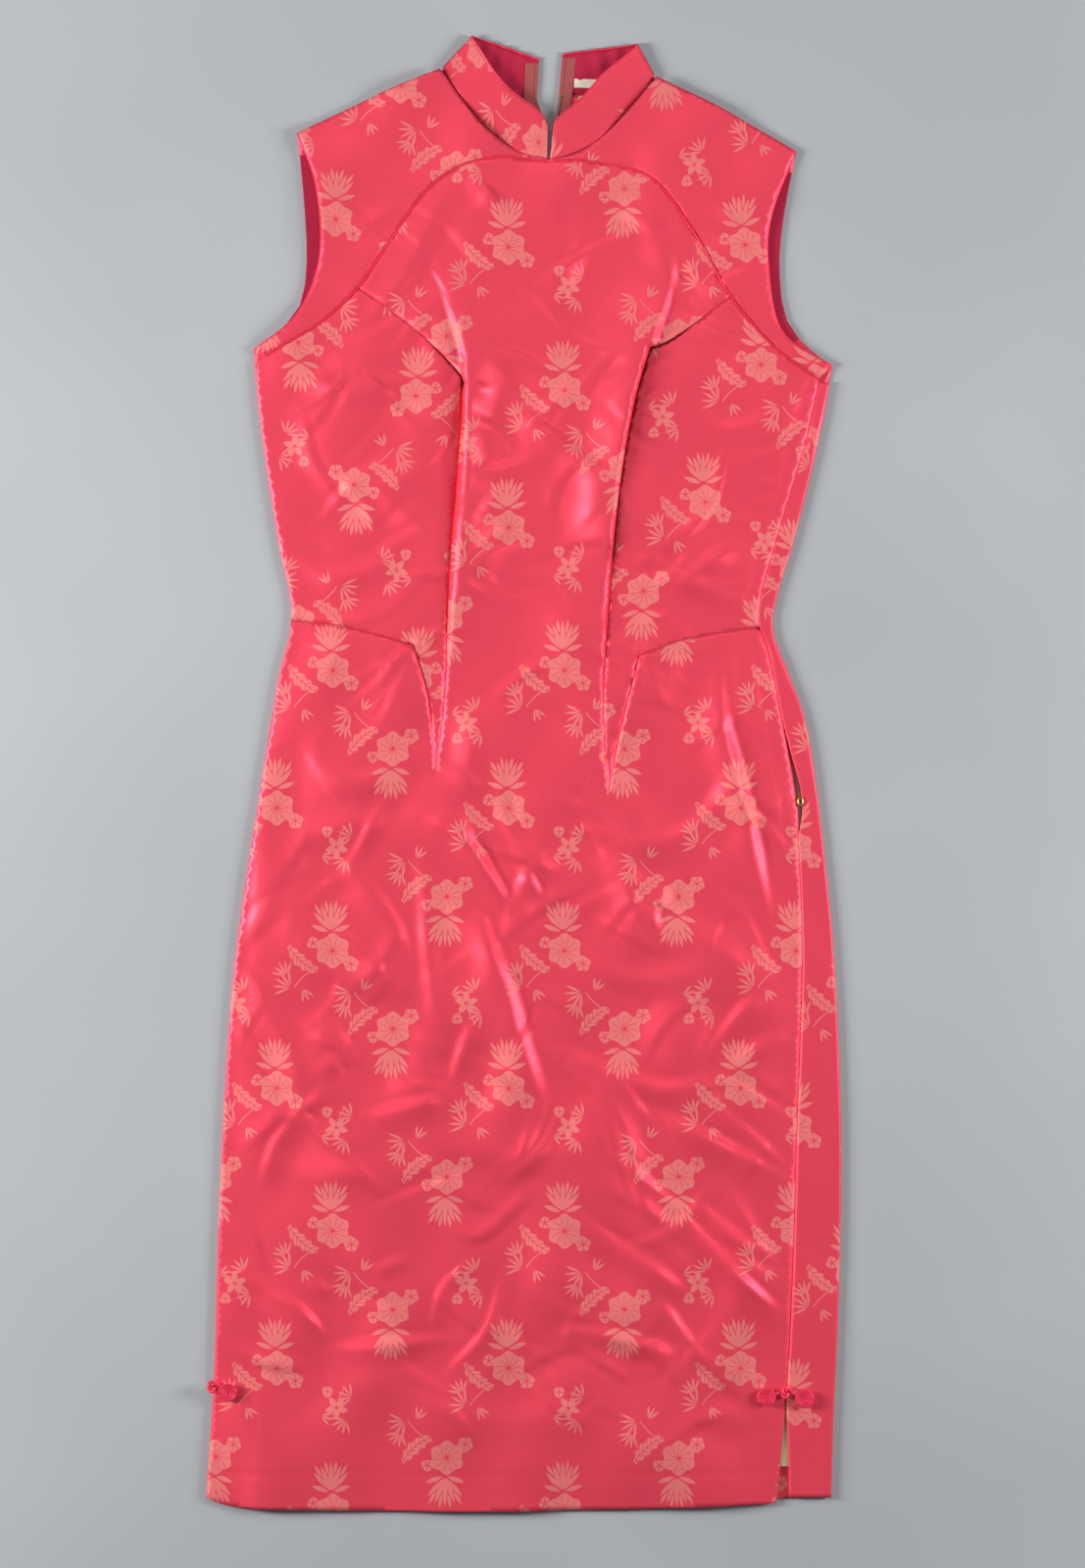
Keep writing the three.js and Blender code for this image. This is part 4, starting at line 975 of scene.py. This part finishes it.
def teeth(name, line, z, pitch=1.6, wide=2.0):
    """A row of teeth at an even pitch along a line."""
    verts, faces = [], []
    line = smooth(line, pitch)
    half, side = TOOTH / 2, wide / 2
    for (x, y), (x2, y2) in zip(line[:-1], line[1:]):
        turn = math.atan2(y2 - y, x2 - x)
        c, s = math.cos(turn), math.sin(turn)
        start = len(verts)
        for dz in (0, TOOTH_HIGH):
            for u, v in ((-half, -side), (half, -side), (half, side), (-half, side)):
                verts.append((x + u * c - v * s, y + u * s + v * c, z + dz))
        faces += [tuple(start + k for k in f) for f in
                  ((3, 2, 1, 0), (4, 5, 6, 7), (0, 1, 5, 4), (1, 2, 6, 5), (2, 3, 7, 6), (3, 0, 4, 7))]
    piece = make_piece(name, verts, faces, zip_metal)
    piece.data.polygons.foreach_set("use_smooth", [False] * len(piece.data.polygons))
    return piece


teeth('teeth_back_left', [(14, 500), (15.6, 492), (18.6, 478), (18.2, 440)], 2.4)
teeth('teeth_back_right', [(28, 517), (24.6, 500), (21.4, 478), (20.6, 440)], 2.4)
teeth('teeth_side', [(206.6, 20), (209.4, -8), (210.6, -30), (210.8, -42)], 2.5, 1.7, 2.6)
FINISHES = {  # pieces of the solid model that keep its shape
    'armhole_facing_left': inner_satin, 'armhole_facing_right': inner_satin, 'neck_lining_left': lining,
    'neck_lining_right': lining, 'slit_lining': lining, 'back_zip_tape_left': zip_tape,
    'back_zip_tape_right': zip_tape, 'side_zip_tape_front': zip_tape, 'back_zip_teeth_left': zip_tape,
    'back_zip_teeth_right': zip_tape, 'side_zip_teeth': zip_tape, 'side_zip_slider': slider_metal,
    'side_zip_pull': slider_metal, 'collar_tape': label_tape,
}
for node, material in FINISHES.items():
    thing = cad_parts[node]
    thing.data.materials.clear()
    thing.data.materials.append(material)
print("three rows of teeth made, and", len(FINISHES), "pieces of the solid model finished")

# %% [markdown]
# ## Frogs
# A frog is a fastening made of satin cord: a flat coil sewn down on each side of the opening, and between
# them a ball knot that goes through a loop. Each is a tube along a formula, a spiral for the coil and a closed
# winding for the knot, so the cord keeps its thickness all the way.

# %% Frogs
FROGS = {'frog_disc_right_front': (185.6, -476.5), 'frog_disc_right_back': (214.6, -478),
         'frog_disc_left': (-225.6, -473)}
KNOTS = {'frog_knot_right': (200.2, -472.5), 'frog_knot_left': (-237.4, -468.2)}
COIL_TURNS, COIL_INNER, COIL_OUTER, COIL_POINTS = 3.6, 0.5, 7.0, 150
COIL_CORD, KNOT_CORD = 1.05, 1.2  # radius of the cord
KNOT_POINTS, KNOT_RADIUS, KNOT_SWING, KNOT_WAVES = 160, 2.6, 1.3, 1.5
CORD_SIDES = 10
for name, (x, y) in FROGS.items():
    points = []
    for k in range(COIL_POINTS):
        t = k / (COIL_POINTS - 1)
        a = t * COIL_TURNS * 2 * math.pi
        r = COIL_INNER + (COIL_OUTER - COIL_INNER) * t
        points.append((x + r * math.cos(a), y + r * math.sin(a), 8.2 + 0.9 * t))
    coil = tube('coil_' + name, points, COIL_CORD, frog_satin, CORD_SIDES)
    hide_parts(name)
for name, (x, y) in KNOTS.items():
    points = []
    for k in range(KNOT_POINTS):
        a = k / KNOT_POINTS * 2 * math.pi * 2
        r = KNOT_RADIUS + KNOT_SWING * math.cos(KNOT_WAVES * a)
        points.append((x + r * math.cos(a), y + r * math.sin(a), 9.4 + 1.2 * math.sin(KNOT_WAVES * a)))
    knot = tube('knot_' + name, points + points[:1], KNOT_CORD, frog_satin, CORD_SIDES)
    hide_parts(name)
loop = [(191, -474, 8), (196, -472.6, 8.8), (204, -472.6, 8.8), (209, -474.5, 8)]
tube('frog_loop_right', loop, KNOT_CORD, frog_satin, CORD_SIDES)
print(len(FROGS), "coils and", len(KNOTS), "knots made")

# %% [markdown]
# ## Surface, light and camera
# The dress lies on pale paper under a camera that looks straight down. Satin shows its folds only where light
# comes in low, so two broad lamps stand at the sides and a faint one lights the neck.

# %% Stage
ground = bpy.data.meshes.new("surface")
reach, under = 3.0, -0.0005  # half the surface's width, and its height, in metres
ground.from_pydata([(-reach, -reach, under), (reach, -reach, under), (reach, reach, under),
                    (-reach, reach, under)], [], [(0, 1, 2, 3)])
table = bpy.data.objects.new("surface", ground)
bpy.context.scene.collection.objects.link(table)
# heavy matt paper, with broad faint clouds and no shine
ground.materials.append(plain("blue-grey paper", '#a9acb0', 0.9, 0.0, 1000 / 3))


def lamp(name, place, aim, size, power, colour):
    """A rectangular soft light that looks at a point."""
    data = bpy.data.lights.new(name, 'AREA')
    data.shape = 'RECTANGLE'
    data.size, data.size_y = size
    data.energy = power
    data.color = colour
    thing = bpy.data.objects.new(name, data)
    thing.location = place
    thing.rotation_euler = (Vector(aim) - Vector(place)).to_track_quat('-Z', 'Y').to_euler()
    bpy.context.scene.collection.objects.link(thing)
    return thing


left_lamp = lamp("left lamp", (-1.9, 0.12, 1.0), (0, 0.1, 0), (0.4, 0.9), 57, (1.0, 0.99, 0.98))
right_lamp = lamp("right lamp", (1.9, 0.12, 1.0), (0, 0.1, 0), (0.4, 0.9), 38, (0.98, 0.99, 1.0))
top_lamp = lamp("top lamp", (0, 1.5, 1.6), (0, 0.2, 0), (1.2, 0.5), 5, (1, 1, 1))
world = bpy.data.worlds.new("room")
bpy.context.scene.world = world
world.use_nodes = True
world.node_tree.nodes['Background'].inputs['Color'].default_value = (0.75, 0.78, 0.8, 1)
world.node_tree.nodes['Background'].inputs['Strength'].default_value = 0.2
lens = bpy.data.cameras.new("camera")
lens.lens = 85
lens.clip_end = 20
camera = bpy.data.objects.new("camera", lens)
camera.location = (0.01425, -0.00825, 2.8333)
bpy.context.scene.collection.objects.link(camera)
bpy.context.scene.camera = camera
bpy.context.scene.view_settings.view_transform = 'Standard'
print("lamps:", [thing.data.energy for thing in (left_lamp, right_lamp, top_lamp)], "W, lens", lens.lens, "mm")

# %% [markdown]
# ## Finish
# Last, the view layer is updated.

# %% Finish
bpy.context.view_layer.update()
